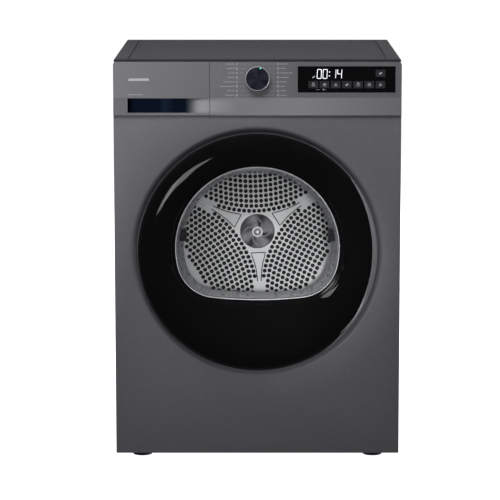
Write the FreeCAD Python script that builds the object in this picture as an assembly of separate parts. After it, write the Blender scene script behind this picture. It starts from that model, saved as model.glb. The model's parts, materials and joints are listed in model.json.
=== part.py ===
import FreeCAD, Part
import os
from math import atan2, cos, degrees, hypot, radians, sin, sqrt

Vector = FreeCAD.Vector

# A free-standing heat-pump clothes dryer, in millimetres.  +Z is up and the front looks along -Y.
# "t" is depth, measured back from the outer face of the front panel.

# Driving dimensions: the cabinet
width = 596.0
height = 845.0
cabinet_depth = 585.0          # front panel's face to the worktop's back edge
door_crown = 24.0              # how far the door's ring stands proud of the front panel
foot_gap = 15.0
sheet = 1.2
front_return = 25.0            # the front panel and fascia wrap this far round the sides
flange = 12.0
edge_radius = 5.0
front_y = door_crown / 2 - cabinet_depth / 2
rear_panel_t = cabinet_depth - 32.0
running_gap = 0.3              # between faces of different bodies that pass each other
shaft_gap = 0.05               # radial clearance of a shaft in its bore

# Worktop
worktop_thickness = 30.0
worktop_inset = 1.0            # the worktop's sides stand in from the cabinet's
worktop_lip = 3.0
worktop_border = 29.0
worktop_groove = 1.2
board_thickness = 22.0

# Control fascia and drawer front
fascia_z = height - 113.7
fascia_top = height - worktop_lip
crease_z = height - 77.4
fascia_t = -2.0
fascia_foot_t = -5.0
fascia_wall = 3.0
fascia_split_x = -98.4
fascia_corner = 7.0
split_gap = 0.8
grip_left_x = -268.4
grip_depth = 22.0
grip_bottom_z = fascia_z + 5.0
grip_top_z = crease_z - 1.2
grip_flat_end_x = -203.0
grip_sweep_end_x = -104.0
grip_fade_x = -26.0

# Dial, display window and keys
dial_x = 0.2
dial_z = height - 37.3
dial_radius = 25.9
dial_reach = 12.0
dial_neck_radius = 21.0
dial_neck_length = 4.5
dial_shaft_radius = 3.0
bezel_radius = 24.5
bezel_depth = 3.5
bezel_gap = 0.5
window_left_x = 83.3
window_right_x = 284.9
window_bottom_z = height - 66.4
window_top_z = height - 12.4
window_thickness = 2.5
window_proud = 0.4
key_count = 7
key_width = 19.5
key_height = 14.5
key_pitch = 23.1
key_first_x = 115.4
key_row_z = height - 50.3
key_upper_z = height - 26.9
key_travel = 0.7
key_gap = 0.35

# Front panel, its dish and the round door
dish_x = 0.0
door_radius = 249.5
dish_radius = door_radius + 11.0
dish_floor_radius = door_radius + 5.5
dish_z = fascia_z - 27.8 - dish_radius
dish_depth = 14.0
dish_hole_radius = 192.0
door_edge_t = -4.0
door_back_t = 6.0
door_crown_radius = 215.0
door_wall = 3.0
door_core_radius = 190.0
grip_width = 10.0
grip_half_angle = 47.0
grip_tilt = -8.0

# The D-shaped opening: a top arc, two corner arcs and a long floor arc
opening_z = dish_z + 8.0
opening_side = 168.0
opening_corner = 80.0
opening_floor = 850.0
opening_drop = 106.0
window_lift = 3.0              # the door's window sits this much above the opening
throat_taper = 12.0
throat_lift = 4.0
throat_depth = 46.0
throat_wall = 3.0
bowl_wall = 4.0
bowl_depth = 30.0
bowl_flange = 10.0

# Hinge and latch
hinge_x = dish_x - door_radius + 13.5
hinge_t = -2.0
hinge_pin_radius = 3.5
hinge_knuckle_radius = 6.5
hinge_arm_half = 20.0
hinge_lug_height = 7.0
hinge_lug_half = 3.0
hinge_recess_half = 80.0
latch_x = 211.0
latch_width = 6.0
latch_height = 10.0
latch_reach = 24.0

# Drum
drum_z = dish_z - 24.0
drum_radius = 283.0
drum_wall = 1.5
drum_front_t = 72.0
drum_rear_t = 480.0
drum_lip_radius = drum_radius - 21.0
drum_wall_t = 470.0
rear_flat_radius = 135.0
hub_radius = 39.4
hub_thickness = 18.0
shaft_radius = 12.0
shaft_end_t = 516.0
lifter_height = 55.0
lifter_count = 3

# Bulkheads
bulkhead_t = 16.2
bulkhead_plate = 3.0
bulkhead_half = 290.0
bulkhead_bottom_z = 112.0
bulkhead_top_z = fascia_z - 7.3
collar_radius = drum_lip_radius - 2.0
collar_wall = 4.0
rear_bulkhead_t = 494.0
rear_opening_radius = drum_radius - 33.0
bearing_radius = 20.0
bearing_length = 26.0
spider_width = 40.0

# Running gear
roller_radius = 22.0
roller_width = 16.0
roller_angle = 32.0
roller_axle_radius = 5.0
motor_x = 200.0
motor_z = 100.0
motor_radius = 55.0
motor_front_t = 175.0
motor_length = 115.0
motor_shaft_radius = 8.0
pulley_radius = 16.0
pulley_width = 20.0
belt_t = 150.0
belt_width = 12.0
belt_thickness = 1.5
idler_radius = 22.0
idler_axle_radius = 4.0
idler_pivot_x = 118.0
idler_pivot_z = 52.0
blower_radius = 60.0
blower_width = 34.0
fan_wall = 3.0

# Heat pump, ducts and filter
exchanger_left_x = -285.0
exchanger_width = 130.0
exchanger_length = 130.0
exchanger_height = 138.0
exchanger_front_t = 180.0
exchanger_gap = 20.0
exchanger_floor_z = 25.0
fin_pitch = 8.0
compressor_x = 232.0
compressor_t = 415.0
compressor_radius = 52.0
compressor_height = 150.0
pipe_radius = 4.0
pump_x = 70.0
pump_t = 430.0
pump_radius = 25.0
pump_height = 55.0
duct_wall = 2.5
duct_floor_z = 48.0
duct_top_z = 120.0
filter_half = 100.0
filter_thickness = 13.0
filter_t = 53.0
filter_rim_z = opening_z - opening_drop - 2.0
filter_bottom_z = filter_rim_z - 143.0
filter_cap = 4.0
filter_cap_margin = 4.0

# Condensate tank
tank_left_x = -288.0
tank_right_x = -124.0
tank_length = 440.0
tank_bottom_z = fascia_z + 7.2
tank_top_z = height - 39.0
tank_wall = 2.5
tray_wall = 2.5

# Base tray, feet and back
tray_bottom_z = foot_gap + 1.5
base_rim_z = 45.0
base_floor = 3.0
foot_x = 245.0
foot_front_t = 60.0
foot_rear_t = 520.0
foot_pad_radius = 20.0
foot_stud_radius = 5.0
foot_boss_radius = 12.0
cover_radius = 230.0
cover_z = drum_z
gland_x = 240.0
gland_z = 70.0
gland_radius = 9.0
gland_bore_radius = 4.6
gland_length = 18.0


# Small makers.  "t" is turned into the Y of the row here and nowhere else.
def place(x, t, z):
    return Vector(x, front_y + t, z)


def box(x0, x1, t0, t1, z0, z1):
    return Part.makeBox(x1 - x0, t1 - t0, z1 - z0, place(x0, t0, z0))


def disc(radius, x, z, t0, t1):
    return Part.makeCylinder(radius, t1 - t0, place(x, t0, z), Vector(0, 1, 0))


def tube(outer, inner, x, z, t0, t1):
    return disc(outer, x, z, t0, t1).cut(disc(inner, x, z, t0 - 1, t1 + 1))


def post(radius, x, t, z0, z1):
    return Part.makeCylinder(radius, z1 - z0, place(x, t, z0))


def bar(radius, t, z, x0, x1):
    return Part.makeCylinder(radius, x1 - x0, place(x0, t, z), Vector(1, 0, 0))


def outward(solid):
    if solid.Volume < 0:
        solid.reverse()
    return solid


def turned(profile, x, z):
    corners = [place(x + radius, t, z) for radius, t in profile]
    face = Part.Face(Part.makePolygon(corners + corners[:1]))
    return outward(face.revolve(place(x, 0, z), Vector(0, 1, 0), 360))


def flat_shape(outline, z0, z1):
    corners = [place(x, t, z0) for x, t in outline]
    face = Part.Face(Part.makePolygon(corners + corners[:1]))
    return outward(face.extrude(Vector(0, 0, z1 - z0)))


def upright_shape(outline, t0, t1):
    corners = [place(x, t0, z) for x, z in outline]
    face = Part.Face(Part.makePolygon(corners + corners[:1]))
    return outward(face.extrude(Vector(0, t1 - t0, 0)))


def side_shape(outline, x0, x1):
    corners = [place(x0, t, z) for t, z in outline]
    face = Part.Face(Part.makePolygon(corners + corners[:1]))
    return outward(face.extrude(Vector(x1 - x0, 0, 0)))


def fused(first, *others):
    return first.fuse(list(others)).removeSplitter()


def spun(shape, angle, x, z):
    turned_copy = shape.copy()
    turned_copy.rotate(place(x, 0, z), Vector(0, 1, 0), angle)
    return turned_copy


def mirrored(shape):
    return shape.mirror(Vector(0, 0, 0), Vector(1, 0, 0))


def edges_where(shape, test):
    return [edge for edge in shape.Edges if test(edge)]


def runs_along(edge, axis):
    box_of_edge = edge.BoundBox
    spans = {"x": box_of_edge.XLength, "y": box_of_edge.YLength, "z": box_of_edge.ZLength}
    long_way = spans.pop(axis)
    return long_way > 1 and max(spans.values()) < 0.01


# The D-shaped outline, grown or shrunk evenly by "grow" and tapered by "taper" and "lift".
def d_wire(grow, t, centre_z, taper=0.0, lift=0.0):
    side = opening_side + grow - taper
    corner = opening_corner + grow - taper
    floor = opening_floor + grow
    drop = opening_drop + grow - lift
    reach = side - corner
    floor_centre = floor - drop
    corner_down = (floor_centre ** 2 + reach ** 2 - (floor - corner) ** 2) / (2 * floor_centre)
    corner_out = sqrt(reach ** 2 - corner_down ** 2)
    top_angle = atan2(corner_down, corner_out)
    floor_angle = atan2(corner_down - floor_centre, corner_out)
    middle_angle = (top_angle + floor_angle) / 2

    def ring_point(side_sign, angle):
        x = corner_out + corner * cos(angle)
        z = corner_down + corner * sin(angle)
        return place(side_sign * x, t, centre_z + z)

    top = Part.Arc(ring_point(1, top_angle), place(0, t, centre_z + side), ring_point(-1, top_angle))
    left = Part.Arc(ring_point(-1, top_angle), ring_point(-1, middle_angle), ring_point(-1, floor_angle))
    sill = Part.Arc(ring_point(-1, floor_angle), place(0, t, centre_z - drop), ring_point(1, floor_angle))
    right = Part.Arc(ring_point(1, floor_angle), ring_point(1, middle_angle), ring_point(1, top_angle))
    return Part.Wire([top.toShape(), left.toShape(), sill.toShape(), right.toShape()])


def d_block(grow, t0, t1, centre_z):
    face = Part.Face(d_wire(grow, t0, centre_z))
    return outward(face.extrude(Vector(0, t1 - t0, 0)))


def d_taper(front_wire, rear_wire):
    return outward(Part.makeLoft([front_wire, rear_wire], True, True))


# Cabinet sheets
def side_panel():
    left = -width / 2
    top = height - worktop_thickness - running_gap
    front_t = front_return + 0.5
    skin = box(left, left + sheet, front_t, rear_panel_t, foot_gap, top)
    low = base_rim_z + 2
    front_flange = box(left, left + flange, front_t, front_t + sheet, low, fascia_z)
    rear_flange = box(left, left + flange, rear_panel_t - sheet, rear_panel_t, low, top)
    return fused(skin, front_flange, rear_flange)


def rear_panel():
    half = width / 2 - 0.2
    top = height - worktop_thickness - running_gap
    skin = box(-half, half, rear_panel_t, rear_panel_t + sheet, foot_gap + 3, top)
    skin = skin.cut(disc(cover_radius - 15, 0, cover_z, rear_panel_t - 1, rear_panel_t + 2))
    skin = skin.cut(disc(gland_radius, gland_x, gland_z, rear_panel_t - 1, rear_panel_t + 2))
    slot_pitch = 14.0
    for row in range(9):
        low = 120.0 + row * slot_pitch
        skin = skin.cut(box(215, 275, rear_panel_t - 1, rear_panel_t + 2, low, low + 5))
        skin = skin.cut(box(-275, -215, rear_panel_t - 1, rear_panel_t + 2, low, low + 5))
    return skin


def rear_duct_cover():
    face_t = rear_panel_t + sheet
    back_t = cabinet_depth - 1.5
    outer = [(0, back_t), (cover_radius - 24, back_t), (cover_radius - 14, back_t - 6),
             (cover_radius - 8, face_t + 1.5), (cover_radius, face_t + 1.5), (cover_radius, face_t)]
    inner = [(cover_radius - 10, face_t), (cover_radius - 16, back_t - 7), (cover_radius - 25, back_t - 1.5),
             (0, back_t - 1.5)]
    return turned(outer + inner, 0, cover_z)


def mains_gland():
    middle = rear_panel_t + sheet / 2
    barrel = tube(gland_radius, gland_bore_radius, gland_x, gland_z,
                  middle - gland_length / 2, middle + gland_length / 2)
    collar = tube(gland_radius + 3, gland_bore_radius, gland_x, gland_z,
                  rear_panel_t + sheet, rear_panel_t + sheet + 3)
    return fused(barrel, collar)


def front_panel():
    half = width / 2
    top = fascia_z - split_gap
    shell = box(-half, half, 0, front_return, foot_gap, top)
    front_edges = edges_where(shell, lambda edge: runs_along(edge, "z") and edge.BoundBox.YMin < front_y + 1)
    shell = shell.makeFillet(edge_radius, front_edges)
    inside = box(-half + sheet, half - sheet, sheet, front_return + 1, foot_gap + sheet, top - sheet)
    inside_edges = edges_where(inside, lambda edge: runs_along(edge, "z") and edge.BoundBox.YMin < front_y + 3)
    inside = inside.makeFillet(edge_radius - sheet, inside_edges)
    shell = shell.cut(inside).cut(disc(dish_radius, dish_x, dish_z, -1, sheet + 1))
    back = dish_depth + sheet
    dish = turned([(dish_radius + sheet, 0), (dish_radius, 0), (dish_floor_radius, dish_depth),
                   (dish_hole_radius, dish_depth), (dish_hole_radius, back),
                   (dish_floor_radius + 0.5, back), (dish_radius + sheet, sheet)], dish_x, dish_z)
    shell = fused(shell, dish)
    recess = box(hinge_x - 30, hinge_x + 17, dish_depth - 1, back + 1,
                 dish_z - hinge_recess_half, dish_z + hinge_recess_half)
    recess = recess.common(disc(dish_floor_radius - 2, dish_x, dish_z, dish_depth - 1, back + 1))
    latch_hole = box(latch_x - 6.5, latch_x + 6.5, dish_depth - 1, back + 1,
                     dish_z - latch_height / 2 - 4, dish_z + latch_height / 2 + 4)
    return shell.cut(recess).cut(latch_hole)


# Worktop
def board_box(clearance):
    half = width / 2 - worktop_inset - worktop_border + clearance
    return box(-half, half, front_return + 3 - clearance, cabinet_depth - 14 + clearance,
               height - board_thickness, height)


def worktop_frame():
    half = width / 2 - worktop_inset
    slab = box(-half, half, front_return + 1, cabinet_depth, height - worktop_thickness, height)
    corners = edges_where(slab, lambda edge: runs_along(edge, "z") and edge.BoundBox.YMin > 0)
    slab = slab.makeFillet(edge_radius, corners)
    lip = box(-half, half, fascia_t - 0.2, front_return + 1, height - worktop_lip + running_gap, height)
    lip_corners = edges_where(lip, lambda edge: runs_along(edge, "z") and edge.BoundBox.YMin < front_y)
    lip = lip.makeFillet(edge_radius, lip_corners)
    relief = box(-half + worktop_border + 26, half - worktop_border - 26, front_return + 30,
                 cabinet_depth - 40, height - worktop_thickness - 1, height)
    return fused(slab, lip).cut(board_box(worktop_groove)).cut(relief)


def worktop_board():
    board = board_box(0)
    corners = edges_where(board, lambda edge: runs_along(edge, "z"))
    return board.makeFillet(3, corners)


# Fascia parts share one front profile and one finger-grip cutter.
def fascia_block(x0, x1):
    profile = [(fascia_t, fascia_top), (fascia_t, crease_z), (fascia_foot_t, fascia_z),
               (front_return, fascia_z), (front_return, fascia_top)]
    return side_shape(profile, x0, x1)


def grip_cutter():
    outside = fascia_foot_t - 5
    sweep = Part.BSplineCurve()
    middle = (grip_flat_end_x + grip_sweep_end_x) / 2
    sweep.interpolate([place(grip_flat_end_x, grip_depth, grip_bottom_z),
                       place((grip_flat_end_x + middle) / 2, grip_depth * 0.8, grip_bottom_z),
                       place(middle, grip_depth * 0.42, grip_bottom_z),
                       place((grip_sweep_end_x + middle) / 2, grip_depth * 0.1, grip_bottom_z),
                       place(grip_sweep_end_x, fascia_t + 0.5, grip_bottom_z),
                       place(grip_fade_x, fascia_foot_t - 0.5, grip_bottom_z)])
    corners = [place(grip_fade_x, fascia_foot_t - 0.5, grip_bottom_z),
               place(grip_fade_x, outside, grip_bottom_z),
               place(grip_left_x, outside, grip_bottom_z),
               place(grip_left_x, grip_depth, grip_bottom_z),
               place(grip_flat_end_x, grip_depth, grip_bottom_z)]
    wire = Part.Wire([sweep.toShape()] + Part.makePolygon(corners).Edges)
    return outward(Part.Face(wire).extrude(Vector(0, 0, grip_top_z - grip_bottom_z)))


def window_hole(clearance, t0, t1):
    return box(window_left_x - clearance, window_right_x + clearance, t0, t1,
               window_bottom_z - clearance, window_top_z + clearance)


def control_fascia():
    right = width / 2
    left = fascia_split_x + split_gap / 2
    block = fascia_block(left, right)
    corner = edges_where(block, lambda edge: runs_along(edge, "y") and edge.BoundBox.ZMin > fascia_top - 1
                         and edge.BoundBox.XMin > right - 1)
    block = block.makeFillet(fascia_corner, corner)
    upper = box(left + fascia_wall, right - fascia_wall, fascia_t + fascia_wall, front_return + 1,
                crease_z + fascia_wall, fascia_top - fascia_corner)
    lower = box(grip_fade_x, right - fascia_wall, fascia_t + fascia_wall, front_return + 1,
                fascia_z + fascia_wall, crease_z)
    boss = disc(dial_shaft_radius + 5, dial_x, dial_z, fascia_t, front_return - 5)
    block = fused(block.cut(upper).cut(lower), boss)
    block = block.cut(disc(dial_shaft_radius + shaft_gap, dial_x, dial_z, fascia_t - 1, front_return))
    return block.cut(grip_cutter()).cut(window_hole(0.15, fascia_t - 1, fascia_t + fascia_wall + 1))


def drawer_front():
    left = -width / 2
    right = fascia_split_x - split_gap / 2
    block = fascia_block(left, right)
    corner = edges_where(block, lambda edge: runs_along(edge, "y") and edge.BoundBox.ZMin > fascia_top - 1
                         and edge.BoundBox.XMax < left + 1)
    block = block.makeFillet(fascia_corner, corner)
    hollow = box(left + fascia_wall, right - fascia_wall, fascia_t + fascia_wall, front_return - fascia_wall,
                 crease_z + fascia_wall, fascia_top - fascia_corner)
    return block.cut(hollow).cut(grip_cutter())


def display_window():
    front_t = fascia_t - window_proud
    glass = window_hole(0, front_t, front_t + window_thickness)
    for x, z in key_centres():
        glass = glass.cut(key_block(x, z, key_gap, front_t - 1, front_t + window_thickness + 1))
    return glass


def key_centres():
    row = [(key_first_x + index * (key_pitch * 6 / (key_count - 1)), key_row_z) for index in range(key_count)]
    return row + [(row[-1][0], key_upper_z)]


def key_block(x, z, grow, t0, t1):
    return box(x - key_width / 2 - grow, x + key_width / 2 + grow, t0, t1,
               z - key_height / 2 - grow, z + key_height / 2 + grow)


def key(x, z):
    front_t = fascia_t - window_proud - 0.1
    cap = key_block(x, z, 0, front_t, front_t + window_thickness)
    return cap.makeFillet(0.8, edges_where(cap, lambda edge: runs_along(edge, "y")))


def dial_knob():
    face_t = fascia_t - dial_reach
    rear_t = fascia_t - running_gap
    head_t = fascia_t - dial_neck_length
    head = turned([(0, rear_t), (dial_neck_radius, rear_t), (dial_neck_radius, head_t),
                   (dial_radius, head_t), (dial_radius, face_t + 2), (dial_radius - 1.5, face_t),
                   (2, face_t + 1.2), (0, face_t + 1.2)], dial_x, dial_z)
    stem = disc(dial_shaft_radius, dial_x, dial_z, rear_t, front_return - 4)
    return fused(head, stem)


def dial_bezel():
    inner = dial_neck_radius + bezel_gap
    front_t = fascia_t - bezel_depth
    return turned([(inner, fascia_t), (inner, front_t), (bezel_radius - 0.6, front_t),
                   (bezel_radius, front_t + 1), (bezel_radius, fascia_t)], dial_x, dial_z)


# Door
def grip_crescent():
    half = radians(grip_half_angle)
    shift = grip_width / (1 - cos(half))
    cutter_radius = door_radius - 0.2 + shift * cos(half)
    tilt = radians(grip_tilt)
    blank = disc(door_radius - 0.2, dish_x, dish_z, -door_crown - 1, door_edge_t + 2)
    cutter = disc(cutter_radius, dish_x - shift * cos(tilt), dish_z - shift * sin(tilt),
                  -door_crown - 2, door_edge_t + 3)
    return blank.cut(cutter).common(door_ring_blank())


def door_ring_blank():
    crown_t = -door_crown
    return turned([(0, door_back_t), (door_radius, door_back_t), (door_radius, door_edge_t),
                   (door_radius - 4, door_edge_t - 7), (door_radius - 12, door_edge_t - 13),
                   (door_radius - 22, crown_t + 3), (door_crown_radius, crown_t),
                   (door_core_radius + 8, crown_t + 1), (door_core_radius - 2, crown_t + 5),
                   (0, crown_t + 10)], dish_x, dish_z)


def door_front_ring():
    crown_t = -door_crown
    blank = door_ring_blank()
    inner = door_radius - door_wall
    cavity = turned([(door_core_radius, door_back_t + 1), (inner, door_back_t + 1), (inner, door_edge_t),
                     (inner - 12, door_edge_t - 9), (door_crown_radius, crown_t + door_wall + 1),
                     (door_core_radius + 6, crown_t + door_wall + 3),
                     (door_core_radius, crown_t + 12)], dish_x, dish_z)
    window = d_block(3, -door_crown - 1, door_back_t + 1, opening_z + window_lift)
    return blank.cut(window).cut(cavity).cut(grip_crescent())


def door_window_bowl():
    centre = opening_z + window_lift
    front_t = door_edge_t - 8
    back_t = door_back_t + bowl_depth
    shell = d_taper(d_wire(2.7, front_t, centre), d_wire(-14, back_t, centre))
    hollow = d_taper(d_wire(2.7 - bowl_wall, front_t - 0.01, centre),
                     d_wire(-14 - bowl_wall, back_t - bowl_wall, centre))
    flange = d_block(bowl_flange, door_back_t, door_back_t + 2, centre)
    return fused(shell, flange).cut(hollow)


def hinge_cutout(t0, t1):
    return box(dish_x - door_radius, dish_x - door_core_radius + 4, t0, t1,
               dish_z - hinge_arm_half - hinge_lug_height - 6, dish_z + hinge_arm_half + hinge_lug_height + 6)


def door_back_frame():
    front_t = door_back_t - 1.8
    back_t = door_back_t + 1.2
    plate = tube(door_radius - door_wall - 0.2, door_core_radius, dish_x, dish_z, front_t, back_t)
    return plate.cut(hinge_cutout(front_t - 1, back_t + 1))


def door_hinge_arm():
    z0 = dish_z - hinge_arm_half
    z1 = dish_z + hinge_arm_half
    knuckle = post(hinge_knuckle_radius, hinge_x, hinge_t, z0, z1)
    edge_x = dish_x - door_core_radius
    leaf = box(hinge_x, edge_x, hinge_t - 4, hinge_t + 4, z0, z1)
    bore = post(hinge_pin_radius + shaft_gap, hinge_x, hinge_t, z0 - 1, z1 + 1)
    return fused(knuckle, leaf).cut(disc(door_core_radius, dish_x, dish_z, -20, 20)).cut(bore)


def door_latch_hook():
    root_t = door_back_t + 1.2
    half = latch_width / 2
    low = dish_z - latch_height / 2
    high = dish_z + latch_height / 2
    tongue = box(latch_x - half, latch_x + half, root_t, root_t + latch_reach, low, high)
    notch = box(latch_x - half - 1, latch_x + half + 1, root_t + latch_reach - 11, root_t + latch_reach - 5,
                high - 3, high + 1)
    pad = box(latch_x - 12, latch_x + 12, root_t, root_t + 2, low - 8, high + 8)
    return fused(tongue.cut(notch), pad)


def hinge_bracket():
    inner = hinge_arm_half + 0.5
    outer = inner + hinge_lug_height
    foot_t = dish_depth
    leg_x0 = hinge_x + 26
    leg_x1 = hinge_x + 36
    bracket = box(hinge_x + 21, leg_x1, foot_t - 2, foot_t, dish_z - outer - 14, dish_z + outer + 14)
    for low in (dish_z - outer, dish_z + inner):
        high = low + hinge_lug_height
        lug = flat_shape([(hinge_x, hinge_t - hinge_lug_half), (leg_x1, hinge_t - hinge_lug_half),
                          (leg_x1, foot_t), (leg_x0, foot_t), (leg_x0, hinge_t + hinge_lug_half),
                          (hinge_x, hinge_t + hinge_lug_half)], low, high)
        eye = post(hinge_knuckle_radius, hinge_x, hinge_t, low, high)
        bracket = fused(bracket, lug, eye)
    bracket = bracket.cut(post(hinge_pin_radius, hinge_x, hinge_t, dish_z - outer - 1, dish_z + outer + 1))
    pin = post(hinge_pin_radius, hinge_x, hinge_t, dish_z - outer, dish_z + outer)
    return Part.makeCompound([bracket, pin])


def latch_housing():
    front_t = dish_depth + sheet + 0.2
    body = box(latch_x - 12, latch_x + 12, front_t, front_t + 32, dish_z - 20, dish_z + 20)
    slot = box(latch_x - 5.5, latch_x + 5.5, front_t - 1, front_t + 26,
               dish_z - latch_height / 2 - 3, dish_z + latch_height / 2 + 3)
    return body.cut(slot)


# Front bulkhead: plate, throat, collar for the drum's mouth and the two roller posts
def roller_centre(side):
    reach = drum_radius + running_gap + roller_radius
    return side * reach * sin(radians(roller_angle)), drum_z - reach * cos(radians(roller_angle))


def front_bulkhead():
    back_t = bulkhead_t + bulkhead_plate
    plate = box(-bulkhead_half, bulkhead_half, bulkhead_t, back_t, bulkhead_bottom_z, bulkhead_top_z)
    end_t = bulkhead_t + throat_depth
    throat = d_taper(d_wire(throat_wall, bulkhead_t, opening_z),
                     d_wire(throat_wall, end_t, opening_z, throat_taper, throat_lift))
    collar = tube(collar_radius, collar_radius - collar_wall, 0, drum_z, back_t, drum_front_t + 10)
    web = tube(collar_radius, 1, 0, drum_z, end_t - 3, end_t)
    parts = [throat, collar, web]
    for side in (-1, 1):
        x, z = roller_centre(side)
        parts.append(disc(roller_axle_radius + 8, x, z, back_t, drum_front_t + 4 - running_gap))
        parts.append(disc(roller_axle_radius, x, z, back_t, drum_front_t + 4 + roller_width + 3))
    body = fused(plate, *parts)
    passage = d_taper(d_wire(0, bulkhead_t - 1, opening_z),
                      d_wire(0, end_t + 1, opening_z, throat_taper, throat_lift))
    body = body.cut(passage)
    hinge_space = box(hinge_x - 32, hinge_x + 20, bulkhead_t - 1, dish_depth + 18,
                      dish_z - hinge_recess_half - 4, dish_z + hinge_recess_half + 4)
    latch_space = box(latch_x - 13, latch_x + 13, bulkhead_t - 1, bulkhead_t + 36, dish_z - 21, dish_z + 21)
    return body.cut(hinge_space).cut(latch_space).cut(filter_space())


def filter_space():
    cap_half = filter_half + filter_cap_margin + 1
    low_t = filter_t - filter_thickness / 2 - filter_cap_margin - 1
    high_t = filter_t + filter_thickness / 2 + filter_cap_margin + 1
    slot = box(-cap_half, cap_half, low_t, high_t, filter_rim_z - 6, filter_rim_z + 16)
    shaft = box(-duct_half() - 0.2, duct_half() + 0.2, bulkhead_t + bulkhead_plate, duct_back_t() + 0.2,
                bulkhead_bottom_z, filter_rim_z)
    return slot.fuse(shaft)


def duct_half():
    return filter_half + filter_cap_margin + 4


def duct_back_t():
    return filter_t + filter_thickness / 2 + filter_cap_margin + 1.5


def hollow_box(x0, x1, t0, t1, z0, z1, wall):
    return box(x0 + wall, x1 - wall, t0 + wall, t1 - wall, z0 + wall, z1 - wall)


def air_duct():
    half = duct_half()
    back_t = duct_back_t()
    front_t = bulkhead_t + bulkhead_plate
    neck_front_t = filter_t - filter_thickness / 2 - filter_cap_margin - 1.5
    neck = box(-half, half, neck_front_t, back_t, filter_bottom_z - 12, filter_rim_z)
    chute = box(-half, half, front_t, back_t, duct_floor_z, filter_bottom_z - 10)
    run = box(exchanger_left_x, half, front_t + 3, back_t, duct_floor_z, duct_top_z)
    tail_x = exchanger_left_x + exchanger_width
    tail = box(exchanger_left_x, tail_x, front_t + 3, exchanger_front_t - running_gap, duct_floor_z, duct_top_z)
    body = fused(neck, chute, run, tail)
    wall = duct_wall
    pocket = box(-filter_half - 1, filter_half + 1, filter_t - filter_thickness / 2 - 1,
                 filter_t + filter_thickness / 2 + 1, filter_bottom_z - 30, filter_rim_z + 1)
    body = body.cut(pocket)
    body = body.cut(box(-half + wall, half - wall, front_t + wall, back_t - wall, duct_floor_z + wall,
                        filter_bottom_z - 14))
    body = body.cut(box(exchanger_left_x + wall, half - wall, front_t + 3 + wall, back_t - wall,
                        duct_floor_z + wall, duct_top_z - wall))
    return body.cut(box(exchanger_left_x + wall, tail_x - wall, front_t + 3 + wall, exchanger_front_t + 1,
                        duct_floor_z + wall, duct_top_z - wall))


def lint_filter():
    low_t = filter_t - filter_thickness / 2
    high_t = filter_t + filter_thickness / 2
    body = box(-filter_half, filter_half, low_t, high_t, filter_bottom_z, filter_rim_z + filter_cap)
    cap_z = filter_rim_z + running_gap
    cap = box(-filter_half - filter_cap_margin, filter_half + filter_cap_margin, low_t - filter_cap_margin,
              high_t + filter_cap_margin, cap_z, filter_rim_z + filter_cap)
    mouth = box(-filter_half + 2, filter_half - 2, low_t + 2, high_t - 2, filter_bottom_z + 2,
                filter_rim_z + filter_cap + 1)
    return fused(body, cap).cut(mouth)


def door_seal():
    low_t = door_back_t + 2 + running_gap
    ring = d_block(9, low_t, bulkhead_t, opening_z)
    return ring.cut(d_block(1, low_t - 1, bulkhead_t + 1, opening_z))


# Drum
def drum_shell():
    inner = drum_radius - drum_wall
    return turned([(drum_radius, drum_front_t), (drum_radius, drum_rear_t), (inner, drum_rear_t),
                   (inner, drum_front_t + drum_wall), (drum_lip_radius, drum_front_t + drum_wall),
                   (drum_lip_radius, drum_front_t)], 0, drum_z)


def drum_rear_wall():
    edge = drum_radius - drum_wall
    bulge_t = drum_wall_t - 12
    front = [(shaft_radius, drum_wall_t), (rear_flat_radius, drum_wall_t), (rear_flat_radius + 35, bulge_t),
             ((rear_flat_radius + 35 + edge) / 2, bulge_t), (edge - 25, drum_wall_t), (edge, drum_wall_t)]
    back = [(radius, t + sheet) for radius, t in reversed(front)]
    return turned(front + back, 0, drum_z)


def drum_hub():
    front_t = drum_wall_t - hub_thickness
    return turned([(0, front_t), (9, front_t), (hub_radius - 6, front_t + 1.5), (hub_radius, front_t + 7),
                   (hub_radius, drum_wall_t), (shaft_radius, drum_wall_t), (shaft_radius, front_t + 4),
                   (0, front_t + 4)], 0, drum_z)


def drum_shaft():
    return disc(shaft_radius, 0, drum_z, drum_wall_t - hub_thickness + 4, shaft_end_t)


def drum_lifters():
    inner = drum_radius - drum_wall
    tip = inner - lifter_height
    base = inner + 12
    outline = [(-40, drum_z + base), (-9, drum_z + tip + 4), (-4, drum_z + tip), (4, drum_z + tip),
               (9, drum_z + tip + 4), (40, drum_z + base)]
    blade = upright_shape(outline, drum_front_t + 18, drum_wall_t - 16)
    blade = blade.common(disc(inner, 0, drum_z, drum_front_t, drum_rear_t))
    return Part.makeCompound([spun(blade, index * 360 / lifter_count, 0, drum_z)
                              for index in range(lifter_count)])


def rear_bulkhead():
    back_t = rear_bulkhead_t + 3
    plate = box(-bulkhead_half, bulkhead_half, rear_bulkhead_t, back_t, base_rim_z + 2,
                height - worktop_thickness - 8)
    plate = plate.cut(disc(rear_opening_radius, 0, drum_z, rear_bulkhead_t - 1, back_t + 1))
    arm = box(-spider_width / 2, spider_width / 2, rear_bulkhead_t, back_t + 6, drum_z,
              drum_z + rear_opening_radius + 4)
    boss_t = (rear_bulkhead_t + shaft_end_t - bearing_length) / 2 - 2
    boss = disc(bearing_radius + 7, 0, drum_z, boss_t, boss_t + bearing_length)
    seal_ring = tube(drum_lip_radius + 8, drum_lip_radius + 4, 0, drum_z, drum_rear_t + 2, rear_bulkhead_t)
    body = fused(plate, boss, seal_ring, *[spun(arm, angle, 0, drum_z) for angle in (0, 120, 240)])
    return body.cut(disc(bearing_radius, 0, drum_z, boss_t - 1, boss_t + bearing_length + 1))


def drum_bearing():
    boss_t = (rear_bulkhead_t + shaft_end_t - bearing_length) / 2 - 2
    return tube(bearing_radius, shaft_radius + shaft_gap, 0, drum_z, boss_t, boss_t + bearing_length)


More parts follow.
